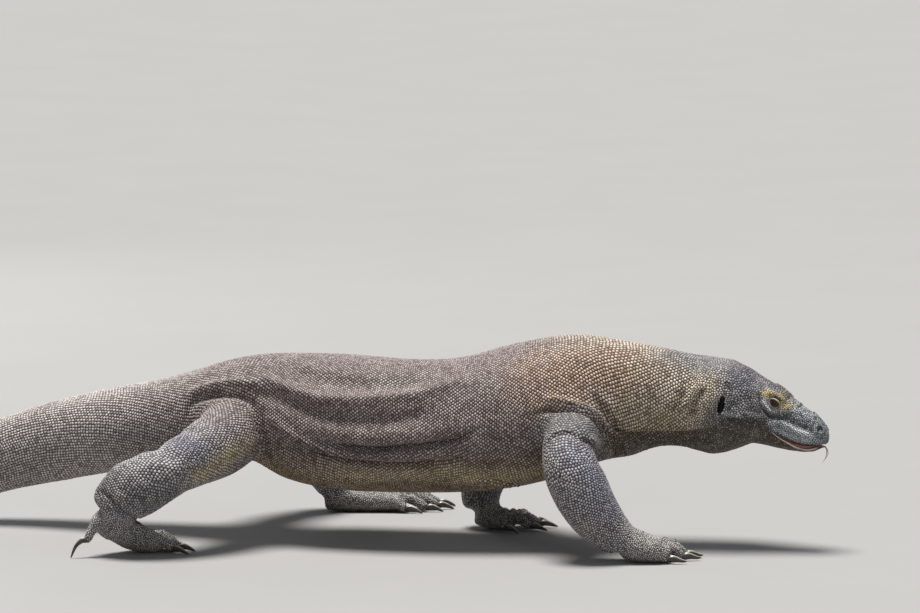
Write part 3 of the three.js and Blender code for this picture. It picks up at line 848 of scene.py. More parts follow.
# Yellowish patches: metres from the tail's tip, turn from the back, reach of each, strength.
OCHRE = (
    (2.0, 132, 0.05, 10, 1.0), (1.95, 127, 0.03, 9, 1.25), (1.91, 118, 0.035, 8, 0.9),
    (2.05, 137, 0.03, 8, 0.9), (1.76, 125, 0.08, 8, 0.7), (1.84, 122, 0.05, 8, 0.7),
    (2.425, 70, 0.012, 16, 0.5), (2.39, 92, 0.012, 9, 0.6),
    (2.26, 84, 0.025, 14, 0.5), (2.26, 50, 0.03, 12, 0.4), (2.33, 108, 0.09, 13, 0.6),
)
# Dark brown patches under the flank, likewise: the flank's own brown, deepened as painted shade under the
# flank folds and behind the arm.
BROWN = (
    (1.90, 114, 0.06, 7, 0.8), (1.98, 113, 0.05, 7, 1.0), (2.05, 116, 0.04, 10, 1.0),
    (1.80, 134, 0.12, 8, 0.8), (1.90, 140, 0.08, 9, 0.7), (1.65, 108, 0.06, 5, 0.7),
)
# Streaks of the right limbs and the slack skin of the shoulder, as lines through places in the
# frame, with their reach, all in millimetres, and their strength.
STREAKS = (
    (((113, -194, 212), (83, -233, 196), (52, -261, 178), (19, -283, 159)), 20.0, 0.9),
)
BLUISH = (
    (((742, -369, 232), (767, -382, 212), (791, -386, 187), (808, -392, 147), (826, -392, 105)),
     26.0, 0.9),
    (((-25, -255, 233), (-3, -277, 224), (19, -279, 211)), 24.0, 0.8),
)
# Painted shade down the right shank, where the body's shadow falls on it.
SHANK_SHADE = (
    (((-160, -300, 150), (-120, -310, 132), (-80, -300, 118), (-40, -290, 130)), 34.0, 0.6),
)
SLACK = (
    (((692, -280, 246), (708, -290, 263), (731, -305, 274), (760, -316, 272), (786, -318, 254),
      (804, -272, 224), (820, -192, 187)), 23.0, 1.1),
)
# Markings of the face, likewise, as lines in the head's frame.
# Painted highlights on the ridge and the edge of the upper lip, the lower lid, the brow and the cheek under
# the ear.
FACE_HIGHLIGHTS = (
    (((112, 50, 12), (128, 48, 20), (142, 46, 21), (158, 44, 19), (176, 41, 18), (196, 37, 20)), 6.0, 1.0),
    (((81, 50, 47), (93, 50, 40), (108, 49, 37), (124, 47, 43)), 5.0, 1.0),
    (((76, 42, 68), (90, 41, 74), (104, 40, 76), (120, 37, 73), (132, 34, 67)), 5.0, 0.9),
    (((126, 44, 4), (150, 41, 4), (174, 38, 4), (196, 31, 9)), 5.0, 0.75),
    (((22, 80, -2), (36, 78, 1), (56, 75, 5)), 4.5, 0.9),
)
# Painted shade in the crease of the orbit, the hollow of the snout, under the swelling before the eye, the
# crease up from the ear, under the cheek along the jaw, and behind the eye.
FACE_SHADE = (
    (((70, 48, 70), (74, 50, 55), (82, 53, 41), (94, 54, 31), (109, 52, 24), (125, 49, 27),
      (141, 46, 37), (149, 42, 49)), 3.6, 1.0),
    (((130, 45, 34), (150, 43, 31), (172, 40, 31), (190, 35, 33)), 5.5, 0.85),
    (((118, 42, 46), (126, 42, 43), (136, 41, 45)), 7.0, 0.7),
    (((5, 72, 58), (18, 76, 46)), 4.0, 0.6),
    (((30, 79, -12), (66, 72, -3), (88, 67, 2), (106, 58, 2)), 6.0, 0.8),
    (((66, 62, 50), (78, 54, 56), (90, 50, 60)), 5.0, 0.4),
)
FACE_YELLOW = (
    (((79, 42, 61), (90, 42, 63)), 7.0, 1.0), (((106, 40, 69), (126, 38, 70), (132, 38, 62)), 7.0, 1.0),
    (((119, 42, 52), (130, 40, 57)), 8.0, 1.0),
)
# The ear and the nostril: centre and radii in millimetres, and tilt, in the head's frame.
HOLLOWS = (((14, 84, 12), (6.5, 16, 22), -0.17), ((209, 27, 42), (9, 13, 7.4), 0.3))
# How much a distance to the side counts in a marking, so that it reaches hide that curves away.
SIDEWAYS = 0.4
MARK_STEP, MARK_EDGE = 2.0, 30  # millimetres along a line, and round it


def numbered(names):
    return [FLESH.index(name) for name in names]


def between(values, low, high):
    """Nought up to the low value, one from the high value, and an eased slope between them."""
    t = np.clip((np.asarray(values, float) - low) / (high - low), 0, 1)
    return t * t * (3 - 2 * t)


def patches(along, round_by, table):
    share = np.zeros(len(along))
    for at, turned, long, wide, strength in table:
        off = ((along - at) / long) ** 2 + ((round_by - turned) / wide) ** 2
        share = np.maximum(share, strength * np.exp(-off))
    return share


def near_line(places, points, reach):
    """How near each place is to a line or its mirror image, fading with distance."""
    line = mirrored(smooth_line(points, MARK_STEP)[0])
    places = mirrored(places)
    inside = (places > line.min(0) - MARK_EDGE) & (places < line.max(0) + MARK_EDGE)
    close = np.flatnonzero(inside.all(1))
    near = np.full(len(places), np.inf)
    for p in line:
        off = (places[close] - p) * (1, SIDEWAYS, 1)
        near[close] = np.minimum(near[close], (off ** 2).sum(1))
    return np.exp(-near / reach ** 2)


def drawn_marks(places, lines):
    share = np.zeros(len(places))
    for points, reach, strength in lines:
        share = np.maximum(share, strength * near_line(places, points, reach))
    return share


def hollow_share(points):
    """How far out each point is from the ear or the nostril, as a share of its width: 1 at the rim."""
    local = mirrored(in_head(points) / MILLIMETRE)
    nearest = np.full(len(points), np.inf)
    for centre, radii, tilt in HOLLOWS:
        turned = (local - np.array(centre)) @ np.array(Matrix.Rotation(tilt, 3, "Y"))
        nearest = np.minimum(nearest, np.linalg.norm(turned / np.array(radii), axis=1))
    return nearest


def markings_of(co, owner, mesh):
    """Each marking's share at each point. Distances along the body are in metres and turns from
    its back in degrees, and x and z are millimetres in the head's frame."""
    along, turn = body_axis.locate(co)
    round_by = np.abs(turn)
    local = in_head(co) / MILLIMETRE
    x, _, z = local.T
    in_frame = co / MILLIMETRE
    limbs = [n for parts in LIMB_PARTS.values() for n in parts]
    leg = evened(np.isin(owner, numbered(limbs)).astype(float), mesh, PART_BLEND)
    paw = evened(np.isin(owner, numbered(PAWS)).astype(float), mesh, PART_BLEND)
    trunk = 1 - leg
    down_leg = np.zeros(len(co))
    for name, axis in leg_axes.items():
        own = np.flatnonzero(np.isin(owner, numbered(LIMB_PARTS[name])))
        down_leg[own] = axis.run[axis.nearest(co[own])]
    leg = leg * between(evened(down_leg, mesh, PART_BLEND), 0.06, 0.24)
    # The right hand is under the head, and takes none of the face's markings.
    above = (co[:, 2] > NAPE_FLOOR) * 1.0
    head = between(x, -34, 22) * above
    throat_edge = np.interp(along, (2.2, 2.25, 2.30, 2.34, 2.38, 2.42, 2.47),
                            (110, 123, 130, 132, 130, 122, 110))
    jaw_line = np.interp(x, (-60, -41, -6, 25, 36, 66, 101, 120, 200),
                         (-85, -77, -55, -32, -12, -1, 6, -4, -8))
    # Below the line of the jaw: the throat's own dark brown, with painted shade under the overhanging
    # cheek.
    under_jaw = between(jaw_line - z, -3, 6) * between(x, -60, -10) * above
    throat = between(round_by - throat_edge, -5, 5) * between(along, 2.19, 2.25) * trunk
    shoulder = between(along, 1.98, 2.14) * (1 - between(along, 2.24, 2.36)) * trunk
    creases = tree_for(crease_places)
    near_crease = np.array([creases.find(p)[2] for p in co])
    return {
        "tail": (1 - between(along, 1.2, 1.5)) * trunk,
        "neck": between(along, 2.06, 2.28) * trunk,
        "shoulder": shoulder * between(round_by, 10, 40) * (1 - between(round_by, 62, 96)),
        "nape": (1 - between(round_by, 22, 62)) * between(along, 2.26, 2.38) * trunk,
        "belly": between(round_by, 104, 138) * between(along, 1.2, 1.6) * trunk,
        "leg": leg,
        "blue": drawn_marks(in_frame, BLUISH),
        "paw": paw,
        "head": head,
        "temple": head * (1 - between(x, 70, 110)) * between(z, 34, 74),
        "snout": between(x, 112, 150) * above,
        # the throat's own dark brown, deepened as painted shade under the cheek and the jaw
        "throat": np.maximum(under_jaw * (1 - between(x, 150, 205)), throat),
        # the flank's own brown with painted shade under its folds
        "brown": patches(along, round_by, BROWN) * trunk,
        # painted shade down the right shank
        "shank_shade": drawn_marks(in_frame, SHANK_SHADE),
        "slack": drawn_marks(in_frame, SLACK),
        "ochre": np.maximum(patches(along, round_by, OCHRE) * trunk, drawn_marks(in_frame, STREAKS)),
        # painted shade along the sharp creases
        "crease_shade": np.exp(-(near_crease / CREASE_SHADE_REACH) ** 2),
        "fleck": np.maximum(between(x, 100, 130) * between(z, 6, 18), 0.5 * head) * above,
        # painted shade along the creases and hollows of the face
        "dark": drawn_marks(local, FACE_SHADE) * above,
        # painted highlights on the face
        "painted_highlight": drawn_marks(local, FACE_HIGHLIGHTS) * above,
        "yellow": drawn_marks(local, FACE_YELLOW) * above,
        # painted shade inside the ear and the nostril
        "hollow": (1 - between(hollow_share(co), 0.98, 1.2)) * above,
    }


def marked(mesh, values):
    for name, held in values.items():
        layer = mesh.attributes.new(name, "FLOAT", "POINT")
        layer.data.foreach_set("value", np.asarray(held, np.float32))


markings = markings_of(skin_points, skin_owner, skin_mesh)
marked(skin_mesh, markings)

# Colours of the skin between the scales, for each region and marking. Some stand for light:
# painted shade in the sharp creases, down the right shank and along the face's shade lines,
# painted highlights along the face's lit lines, and painted shade in part of the throat and of
# the brown patches. The dark tone also serves the face's own flecks.
CREVICE = {
    "trunk": (0.052, 0.034, 0.03), "tail": (0.10, 0.08, 0.075), "neck": (0.082, 0.062, 0.042),
    "shoulder": (0.085, 0.052, 0.037), "leg": (0.045, 0.04, 0.042), "paw": (0.045, 0.04, 0.036),
    "head": (0.026, 0.024, 0.025), "temple": (0.03, 0.028, 0.034), "snout": (0.05, 0.062, 0.07),
    "belly": (0.08, 0.052, 0.026), "throat": (0.035, 0.025, 0.016), "dark": (0.018, 0.018, 0.018),
    "painted_highlight": (0.13, 0.14, 0.145), "yellow": (0.14, 0.10, 0.04), "ochre": (0.17, 0.13, 0.065),
    "slack": (0.05, 0.05, 0.052), "blue": (0.035, 0.036, 0.05), "nape": (0.05, 0.048, 0.05),
    "brown": (0.035, 0.022, 0.012), "shank_shade": (0.03, 0.028, 0.029),
    "crease_shade": (0.02, 0.016, 0.014),
}
REGIONS = ("tail", "neck", "shoulder", "nape", "belly", "leg", "blue", "paw", "head", "temple",
           "snout", "throat")
PATCHY_REGIONS = ("shoulder", "nape", "belly", "blue", "temple")
# Near black painted into the openings of the ear and the nostril, as the shade inside them.
HOLLOW_SHADE = (0.006, 0.005, 0.005)


def toned(paint, tones):
    """The hide's colour at a place, mixed from its regions' and its markings' tones."""
    patchy = paint.grain(7.0, 3.0)
    blotch = paint.grain(26.0, 3.0)
    fleck = paint.grain(150.0).spread(0.52, 0.60)
    tone = tones["trunk"]
    for region in REGIONS:
        share = paint.read(region)
        if region in PATCHY_REGIONS:
            share = (share * (0.55 + 0.9 * patchy)).clamped()
        tone = paint.mix(share, tone, tones[region])
    shares = (
        # the flank's own brown with painted shade under its folds
        ("brown", (paint.read("brown") * (0.3 + 1.1 * patchy)).clamped()),
        # painted shade down the right shank
        ("shank_shade", paint.read("shank_shade")),
        ("slack", paint.read("slack") * 0.85),
        ("ochre", (paint.read("ochre") * (3.4 * patchy - 0.9)).clamped()),
        # painted shade along the sharp creases
        ("crease_shade", paint.read("crease_shade") * 0.85),
        ("dark", fleck * paint.read("fleck") * 0.8),
        # painted shade along the creases and hollows of the face
        ("dark", (paint.read("dark") * (0.6 + 0.7 * blotch)).clamped()),
        # painted highlights on the face
        ("painted_highlight", (paint.read("painted_highlight") * (0.5 + 0.9 * blotch)).clamped()),
        ("yellow", (paint.read("yellow") * (0.5 + 1.2 * blotch)).clamped()),
    )
    for marking, share in shares:
        tone = paint.mix(share, tone, tones[marking])
    shaded = tuple(0.62 * c for c in tones["trunk"])
    bleached = tuple(1.25 * c for c in tones["tail"])
    tone = paint.mix(patchy.spread(0.42, 0.62) * 0.30, tone, shaded)
    return paint.mix(blotch.spread(0.50, 0.72) * 0.22, tone, bleached)


hide = Material("hide", 0.62, 0.35)
# The openings of the ear and the nostril are painted near black, as the shade inside them.
hide.colour(hide.mix(hide.read("hollow"), toned(hide, CREVICE), HOLLOW_SHADE))
hide.bump(hide.grain(900.0), 0.5, 0.0004)
skin_mesh.materials.append(hide.made)
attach(skin, "root")
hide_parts(*FLESH)


# ---- Scales ---------------------------------------------------------------------------------
# Low horny beads over the whole skin. They stand in slightly slanting rows, ring behind ring,
# on the tail, trunk, neck and legs, and lie close-packed and smaller on the head and paws.

# Colours of the scales' crowns, for each region and marking, with the same painted shade and
# painted highlights as the skin's.
CROWN = {
    "trunk": (0.43, 0.35, 0.33), "tail": (0.80, 0.73, 0.70), "neck": (0.90, 0.75, 0.58),
    "shoulder": (0.76, 0.53, 0.38), "leg": (0.60, 0.575, 0.595), "paw": (0.58, 0.56, 0.53),
    "head": (0.21, 0.207, 0.21), "temple": (0.20, 0.195, 0.23), "snout": (0.46, 0.50, 0.515),
    "belly": (0.58, 0.44, 0.27), "throat": (0.10, 0.078, 0.05), "dark": (0.06, 0.064, 0.068),
    "painted_highlight": (0.93, 0.97, 0.98), "yellow": (0.80, 0.62, 0.22), "ochre": (0.80, 0.68, 0.42),
    "slack": (0.27, 0.275, 0.28), "blue": (0.40, 0.42, 0.53), "nape": (0.33, 0.325, 0.33),
    "brown": (0.19, 0.125, 0.065), "shank_shade": (0.15, 0.145, 0.15),
    "crease_shade": (0.07, 0.055, 0.048),
}
WORN_CROWN = (0.62, 0.58, 0.55)

scale_horn = Material("scales", 0.5, 0.45)
crown_tone = toned(scale_horn, CROWN)
crevice_tone = toned(scale_horn, CREVICE)
luck = scale_horn.read("seed")
rise = scale_horn.read("rise")
dulled = scale_horn.mix((1 - luck) ** 2 * 0.75, crown_tone, crevice_tone)
bright = scale_horn.mix(luck ** 4 * 0.4, dulled, WORN_CROWN)
scale_horn.colour(scale_horn.mix(rise ** 2.0, crevice_tone, bright))
scale_horn.roughness(0.46 + 0.2 * scale_horn.grain(160.0))
scale_horn.bump(scale_horn.grain(1400.0), 0.35, 0.0003)

# Scale sizes in millimetres along and round an axis, at distances from its start.
BODY_BEADS = (
    (0.00, 3.0, 2.4), (0.30, 4.8, 3.8), (0.70, 6.0, 4.8), (1.10, 6.6, 5.8), (1.35, 5.4, 6.4),
    (1.60, 4.5, 6.6), (1.90, 4.5, 6.9), (2.08, 4.7, 7.3), (2.24, 5.2, 7.6), (2.38, 5.2, 7.2),
    (2.51, 4.2, 5.8),
)
ARM_BEADS = ((0.00, 4.7, 6.4), (0.16, 4.8, 6.6), (0.34, 4.4, 5.8), (0.50, 3.8, 4.8))
LEG_BEADS = ((0.00, 5.0, 7.6), (0.16, 5.2, 7.8), (0.34, 4.6, 6.4), (0.50, 3.8, 5.0))
# How far each ring is shifted on the one before, as a share of a scale, at distances.
BODY_SHIFTS = ((1.0, 0.08), (1.4, 0.5))
LIMB_SHIFTS = ((0.0, 0.5),)
# How far the number of scales in a ring may be off before it is counted anew.
BODY_STEADY, LIMB_STEADY = 0.0, 0.14
TRUNK_PARTS = ("tail_tip", "tail_rear", "tail_middle", "tail_base", "hips", "belly", "chest", "neck")
RING_RAYS = 72
FIRST_RING = 0.002
ROW_WAVE = 0.0035
# The end of a row that is left free, the gap kept between places in rows, and how far each place
# is off its row, all as shares of a scale.
ROW_END, ROW_CLEAR, ROW_SHAKE = 0.2, 0.62, 0.075
# Scattered scales: places tried for each that fits, the gap kept to scales already there and to
# each other, and how far and how strongly neighbours push each other apart, as shares of a gap.
TRIES, FILL_TRIES = 7.0, 5.0
FILL_GAP, SPREAD_GAP = 0.78, 0.84
PUSH_REACH, PUSH = 1.35, 0.22
# How high a scale stands, as a share of its smaller side, and at most, in metres.
ROW_LIFT, HEAD_LIFT, PAW_LIFT = 0.26, 0.14, 0.24
LIFT_LIMIT = 0.0015

chooser = np.random.default_rng(11)
triangles = np.array([p.vertices[:] for p in skin_mesh.polygons])
triangle_part = skin_owner[triangles[:, 0]]


def settled(places):
    """The nearest place on the skin to each point, with the slope and the part there."""
    found = [skin_tree.find_nearest(Vector(p)) for p in places]
    spots = np.array([f[0] for f in found])
    slopes = np.array([f[1] for f in found])
    return spots, slopes, triangle_part[[f[2] for f in found]]


def spaced(spots, gaps):
    """Marks which places to keep so that none is nearer than its gap to an earlier one."""
    tree = tree_for(spots)
    kept = np.ones(len(spots), bool)
    for i, (p, gap) in enumerate(zip(spots, gaps)):
        if kept[i]:
            for _, j, _ in tree.find_range(p, gap):
                if j > i:
                    kept[j] = False
    return kept


def waved(along, turn):
    """How far a ring wanders along the body at each turn."""
    slow = math.sin(math.radians(3 * turn) + 9 * along)
    quick = math.sin(math.radians(8 * turn) - 23 * along)
    return ROW_WAVE * (slow + 0.5 * quick)


def ring_places(axis, sizes, shifts, steady):
    """Places in rings round an axis, from the top of each ring down both sides. Where a ring
    needs nearly as many scales as the one before, it takes as many, so that rows run on."""
    grid = np.array(sizes)
    found = []
    along, shift = FIRST_RING, 0.0
    count = {-1: 1, 1: 1}
    while along < axis.length:
        long = np.interp(along, grid[:, 0], grid[:, 1]) * MILLIMETRE
        gap = np.interp(along, grid[:, 0], grid[:, 2]) * MILLIMETRE
        for side in (-1, 1):
            turns = [side * 180 * k / RING_RAYS for k in range(RING_RAYS + 1)]
            hits = [axis.hit(skin_tree, along + waved(along, turn), turn) for turn in turns]
            hits = np.array([h for h in hits if h is not None])
            if len(hits) < 3:
                continue
            arc = np.concatenate([[0], np.cumsum(np.linalg.norm(np.diff(hits, axis=0), axis=1))])
            first = shift if side > 0 else 1 - shift
            if abs(arc[-1] / gap / count[side] - 1) > steady:
                count[side] = arc[-1] / gap
            spread = arc[-1] / count[side]
            stops = np.arange(first * spread, arc[-1] - ROW_END * spread, spread)
            found.append(np.stack([np.interp(stops, arc, hits[:, k]) for k in range(3)], 1))
        along += long
        shift = (shift + float(np.interp(along, *zip(*shifts)))) % 1
    return np.vstack(found)


def size_along(axis, sizes, spots):
    grid = np.array(sizes)
    near = axis.run[axis.nearest(spots)]
    return np.stack([np.interp(near, grid[:, 0], grid[:, k]) for k in (1, 2)], 1) * MILLIMETRE


def scattered(names, gap_at, tries, taken=None):
    """Close-packed places on some parts, `gap_at` apart and clear of the places taken."""
    chosen = np.flatnonzero(np.isin(triangle_part, numbered(names)))
    a, b, c = (skin_points[triangles[chosen, k]] for k in range(3))
    area = 0.5 * np.linalg.norm(np.cross(b - a, c - a), axis=1)
    weight = area / gap_at((a + b + c) / 3) ** 2
    count = int(tries * weight.sum())
    pick = chooser.choice(len(chosen), count, p=weight / weight.sum())
    u, v = chooser.random((2, count))
    u, v = np.where(u + v > 1, 1 - u, u), np.where(u + v > 1, 1 - v, v)
    spots = a[pick] + u[:, None] * (b - a)[pick] + v[:, None] * (c - a)[pick]
    gaps = gap_at(spots)
    if taken is not None:
        tree = tree_for(taken)
        clear = np.array([tree.find(p)[2] for p in spots]) > FILL_GAP * gaps
        spots, gaps = spots[clear], gaps[clear]
    if not len(spots):
        return spots
    return spots[spaced(spots, SPREAD_GAP * gaps)]


def loosened(spots, gap_at, rounds):
    """Evens out close-packed places by letting neighbours push each other apart."""
    for _ in range(rounds):
        tree = tree_for(spots)
        moved = spots.copy()
        for i, (p, gap) in enumerate(zip(spots, gap_at(spots))):
            reach = PUSH_REACH * gap
            for q, j, d in tree.find_range(p, reach):
                if j != i and d > 1e-7:
                    moved[i] += (p - np.array(q)) / d * (PUSH * gap * (1 - d / reach))
        spots = settled(moved)[0]
    return spots


ROWS = {"body": (body_axis, TRUNK_PARTS, BODY_BEADS, BODY_SHIFTS, BODY_STEADY)}
for name, beads in (("arm_right", ARM_BEADS), ("arm_left", ARM_BEADS),
                    ("leg_right", LEG_BEADS), ("leg_left", LEG_BEADS)):
    ROWS[name] = (leg_axes[name], LIMB_PARTS[name][:2], beads, LIMB_SHIFTS, LIMB_STEADY)
rows = {}
for region, (axis, parts, sizes, shifts, steady) in ROWS.items():
    spots, _, part = settled(ring_places(axis, sizes, shifts, steady))
    spots = spots[np.isin(part, numbered(parts))]
    spots = spots[spaced(spots, ROW_CLEAR * size_along(axis, sizes, spots).min(1))]
    between_rows = scattered(parts, lambda p: size_along(axis, sizes, p).mean(1), FILL_TRIES, spots)
    spots = np.vstack([spots, between_rows])
    gaps = size_along(axis, sizes, spots).mean(1)
    shake = chooser.normal(0, ROW_SHAKE, spots.shape) * gaps[:, None]
    spots, slopes, _ = settled(spots + shake)
    rows[region] = (spots, slopes, size_along(axis, sizes, spots))

# Each piece of the coat: its name, slot and axis, its places and slopes, and the scales' sizes
# and heights. The body's are parted by their distance from the tail's tip.
BODY_COATS = {
    "scales_tail": (0, 1.12), "scales_rump": (1.12, 1.5), "scales_belly": (1.5, 1.78),
    "scales_ribs": (1.78, 2.03), "scales_chest": (2.03, 2.26), "scales_neck": (2.26, 9),
}
coats = []
spots, slopes, size = rows["body"]
place_along = body_axis.locate(spots)[0]
for name, (start, end) in BODY_COATS.items():
    own = (place_along >= start) & (place_along < end)
    lift = np.minimum(ROW_LIFT * size[own].min(1), LIFT_LIMIT)
    coats.append((name, "hide", body_axis, spots[own], slopes[own], size[own], lift))
for name, axis in leg_axes.items():
    spots, slopes, size = rows[name]
    lift = np.minimum(ROW_LIFT * size.min(1), LIFT_LIMIT)
    coats.append(("scales_" + name, "hide_limb", axis, spots, slopes, size, lift))

# Scales of the head in millimetres: broad on the crown, small round the eyes, ears, lips and
# snout. Each entry is a place, its reach, and how much larger the scales are there.
HEAD_GAP = 3.9
HEAD_SIZES = (
    ((0, 60, 40), (60, 60, 70), 1.1), ((100, 0, 74), (70, 26, 14), 0.9),
    ((103, 42, 48), (22, 22, 20), -1.2), ((208, 20, 36), (26, 26, 20), -0.9),
    ((160, 40, 0), (60, 20, 10), -0.6), ((14, 84, 12), (18, 26, 30), -1.5),
)
# The least and the most, the shape along and across, the rounds of evening out, and how far
# scales keep from the middle of the ear and the nostril, as a share of their width.
HEAD_LEAST, HEAD_MOST = 1.7, 5
HEAD_SHAPE = (1.2, 1.15)
HEAD_ROUNDS = 2
HOLLOW_CLEAR = 1.06


def head_gap(places):
    local = mirrored(in_head(places) / MILLIMETRE)
    gap = np.full(len(places), HEAD_GAP)
    for at, reach, more in HEAD_SIZES:
        gap += more * swell(local, at, reach)
    return np.clip(gap, HEAD_LEAST, HEAD_MOST) * MILLIMETRE


head_line = [HEAD_AT + HEAD_TURN @ Vector((x, 0, 0.12 * x - 0.010)) for x in (-0.03, 0.1, 0.215)]
head_axis = Axis(head_line, up=HEAD_TURN @ Vector((0, 0, 1)))
spots = loosened(scattered(("head", "lower_jaw"), head_gap, TRIES), head_gap, HEAD_ROUNDS)
spots = spots[hollow_share(spots) > HOLLOW_CLEAR]
spots, slopes, _ = settled(spots)
size = head_gap(spots)[:, None] * np.array([HEAD_SHAPE])
coats.append(("scales_head", "hide_head", head_axis, spots, slopes, size, HEAD_LIFT * size.min(1)))

# Scales of the paws in millimetres, their shape along and across, and the rounds likewise.
PAW_GAP = 3.6
PAW_SHAPE = (0.98, 1.12)
PAW_ROUNDS = 1


def paw_gap(places):
    return np.full(len(places), PAW_GAP * MILLIMETRE)


for paw, axis in zip(PAWS, leg_axes.values()):
    spots = loosened(scattered((paw,), paw_gap, TRIES), paw_gap, PAW_ROUNDS)
    spots, slopes, _ = settled(spots)
    size = paw_gap(spots)[:, None] * np.array([PAW_SHAPE])
    coats.append(("scales_" + paw, "hide_limb", axis, spots, slopes, size, PAW_LIFT * size.min(1)))

# A scale is a six-sided dome of unit size. Its rim is sunk into the skin, and an inner ring of
# corners stands nearly as high as its crown, which is its only corner nearer to the middle.
BEAD_SIDES = 6
RIM_SINK = 0.4
RING_IN, RING_HIGH = 0.26, 0.80
CROWN_OUT, RIM_OUT = 0.2, 0.95
# Each reaches to a share of the way between it and its neighbours, within these shares of its
# planned size, and differs a little from the next in heading, height and size.
NEIGHBOURS = 8
SNUG = 0.97
LEAST_REACH, MOST_REACH = 0.6, 1.4
HEADING_SPREAD, LIFT_SPREAD, SIZE_SPREAD = 0.12, 0.12, 0.07
# The edge that the map keeps free, and the size of a scale's patch, as shares of the map.
MAP_EDGE, PATCH = 0.04, 0.003

skin_near = tree_for(skin_points)
everyone = np.vstack([spots for _, _, _, spots, *_ in coats])
crowd = tree_for(everyone)


def bead_pattern():
    """The corners and the faces of one scale."""
    made = bmesh.new()
    bmesh.ops.create_circle(made, cap_ends=True, segments=BEAD_SIDES, radius=1)
    bmesh.ops.inset_region(made, faces=made.faces[:], thickness=RING_IN, use_boundary=True)
    top = min(made.faces, key=lambda f: f.calc_center_median().length)
    bmesh.ops.poke(made, faces=[top])
    bmesh.ops.triangulate(made, faces=made.faces)
    made.verts.ensure_lookup_table()
    corners = np.array([v.co[:] for v in made.verts])
    faces = np.array([[v.index for v in f.verts] for f in made.faces])
    made.free()
    out = np.hypot(corners[:, 0], corners[:, 1])
    corners[:, 2] = np.select([out < CROWN_OUT, out < RIM_OUT], [1.0, RING_HIGH], -RIM_SINK)
    return corners, faces


bead_corners, bead_faces = bead_pattern()


def heading_on(axis, spots, slopes):
    way = axis.heading[axis.nearest(spots)]
    return unit(way - slopes * (way * slopes).sum(1)[:, None])


def room_round(spots, heading, across, half):
    """How far each corner of each scale can reach before it meets the scale's neighbours."""
    x, y, _ = bead_corners.T
    out = np.maximum(np.hypot(x, y), 1e-6)
    way = np.stack([x / out, y / out], 1)
    beside = np.array([[j for _, j, _ in crowd.find_n(p, NEIGHBOURS + 1)][1:] for p in spots])
    gap = everyone[beside] - spots[:, None]
    ahead = (gap * heading[:, None]).sum(2)
    aside = (gap * across[:, None]).sum(2)
    meet = np.full((len(spots), len(way)), np.inf)
    for a, b in zip(ahead.T, aside.T):
        toward = a[:, None] * way[:, 0] + b[:, None] * way[:, 1]
        reach = 0.5 * (a * a + b * b)[:, None] / np.maximum(toward, 1e-6)
        meet = np.minimum(meet, np.where(toward > 1e-5, reach, np.inf))
    return np.clip(SNUG * meet, LEAST_REACH * half.min(1)[:, None], MOST_REACH * half.max(1)[:, None])


def coat(name, slot, axis, spots, slopes, size, lift):
    """Joins a scale at every place into one piece, with a small patch of its map for each."""
    n, k = len(spots), len(bead_corners)
    heading = heading_on(axis, spots, slopes)
    seed = chooser.random(n)
    swing = chooser.normal(0, HEADING_SPREAD, n)[:, None]
    heading = unit(heading + swing * np.cross(slopes, heading))
    across = np.cross(slopes, heading)
    half = 0.5 * size * (1 + chooser.normal(0, SIZE_SPREAD, (n, 1)))
    lift = lift * (1 + chooser.normal(0, LIFT_SPREAD, n))
    x, y, z = bead_corners.T
    room = room_round(spots, heading, across, half)
    corners = (
        spots[:, None]
        + (x * room)[:, :, None] * heading[:, None]
        + (y * room)[:, :, None] * across[:, None]
        + z[None, :, None] * (lift[:, None] * slopes)[:, None]
    ).reshape(-1, 3)
    corners[:, 2] = np.maximum(corners[:, 2], SOLE_CLEAR)
    faces = (bead_faces[None] + (np.arange(n) * k)[:, None, None]).reshape(-1, 3)
    mesh = bpy.data.meshes.new(name)
    mesh.vertices.add(len(corners))
    mesh.vertices.foreach_set("co", corners.astype(np.float32).ravel())
    mesh.loops.add(faces.size)
    mesh.loops.foreach_set("vertex_index", faces.astype(np.int32).ravel())
    mesh.polygons.add(len(faces))
    mesh.polygons.foreach_set("loop_start", np.arange(0, faces.size, 3, dtype=np.int32))
    mesh.update()
    mesh.shade_smooth()
    near = [skin_near.find(p)[1] for p in spots]
    marked(mesh, {marking: np.repeat(held[near], k) for marking, held in markings.items()})
    marked(mesh, {"seed": np.repeat(seed, k), "rise": np.tile(np.clip(z, 0, 1), n)})
    along, turn = axis.locate(spots)
    shares = np.stack([(along - along.min()) / (along.max() - along.min()), (turn + 180) / 360], 1)
    middle = MAP_EDGE + (1 - 2 * MAP_EDGE) * shares
    flat = (middle[:, None] + np.stack([x, y], 1) * PATCH / 2).reshape(-1, 2)[faces.ravel()]
    layer = mesh.uv_layers.new(name="OFBake")
    layer.uv.foreach_set("vector", flat.astype(np.float32).ravel())
    mesh.materials.append(scale_horn.made)
    piece = linked(name, mesh)
    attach(piece, "root")


for planned in coats:
    coat(*planned)


# ---- Eyes -----------------------------------------------------------------------------------
# Wet dark eyes with a red-brown ring round a black pupil. Each is a ball set deep under the
# brow, turned to its gaze, and toned by the angle away from it.

EYE_AT = (103, 38, 50)
EYE_RADIUS = 0.0104
GAZE = (0.22, 0.95, 0.12)
PUPIL_EDGE, IRIS_EDGE = 0.42, 0.66  # turn away from the gaze, in radians


def head_point(x, y, z):
    """A place in the head's frame, in millimetres."""
    return HEAD_AT + HEAD_TURN @ (Vector((x, y, z)) * MILLIMETRE)


def eye_seat(side):
    """The middle of an eye and the way it looks."""
    gaze = HEAD_TURN @ Vector((GAZE[0], side * GAZE[1], GAZE[2]))
    return head_point(EYE_AT[0], side * EYE_AT[1], EYE_AT[2]), gaze.normalized()


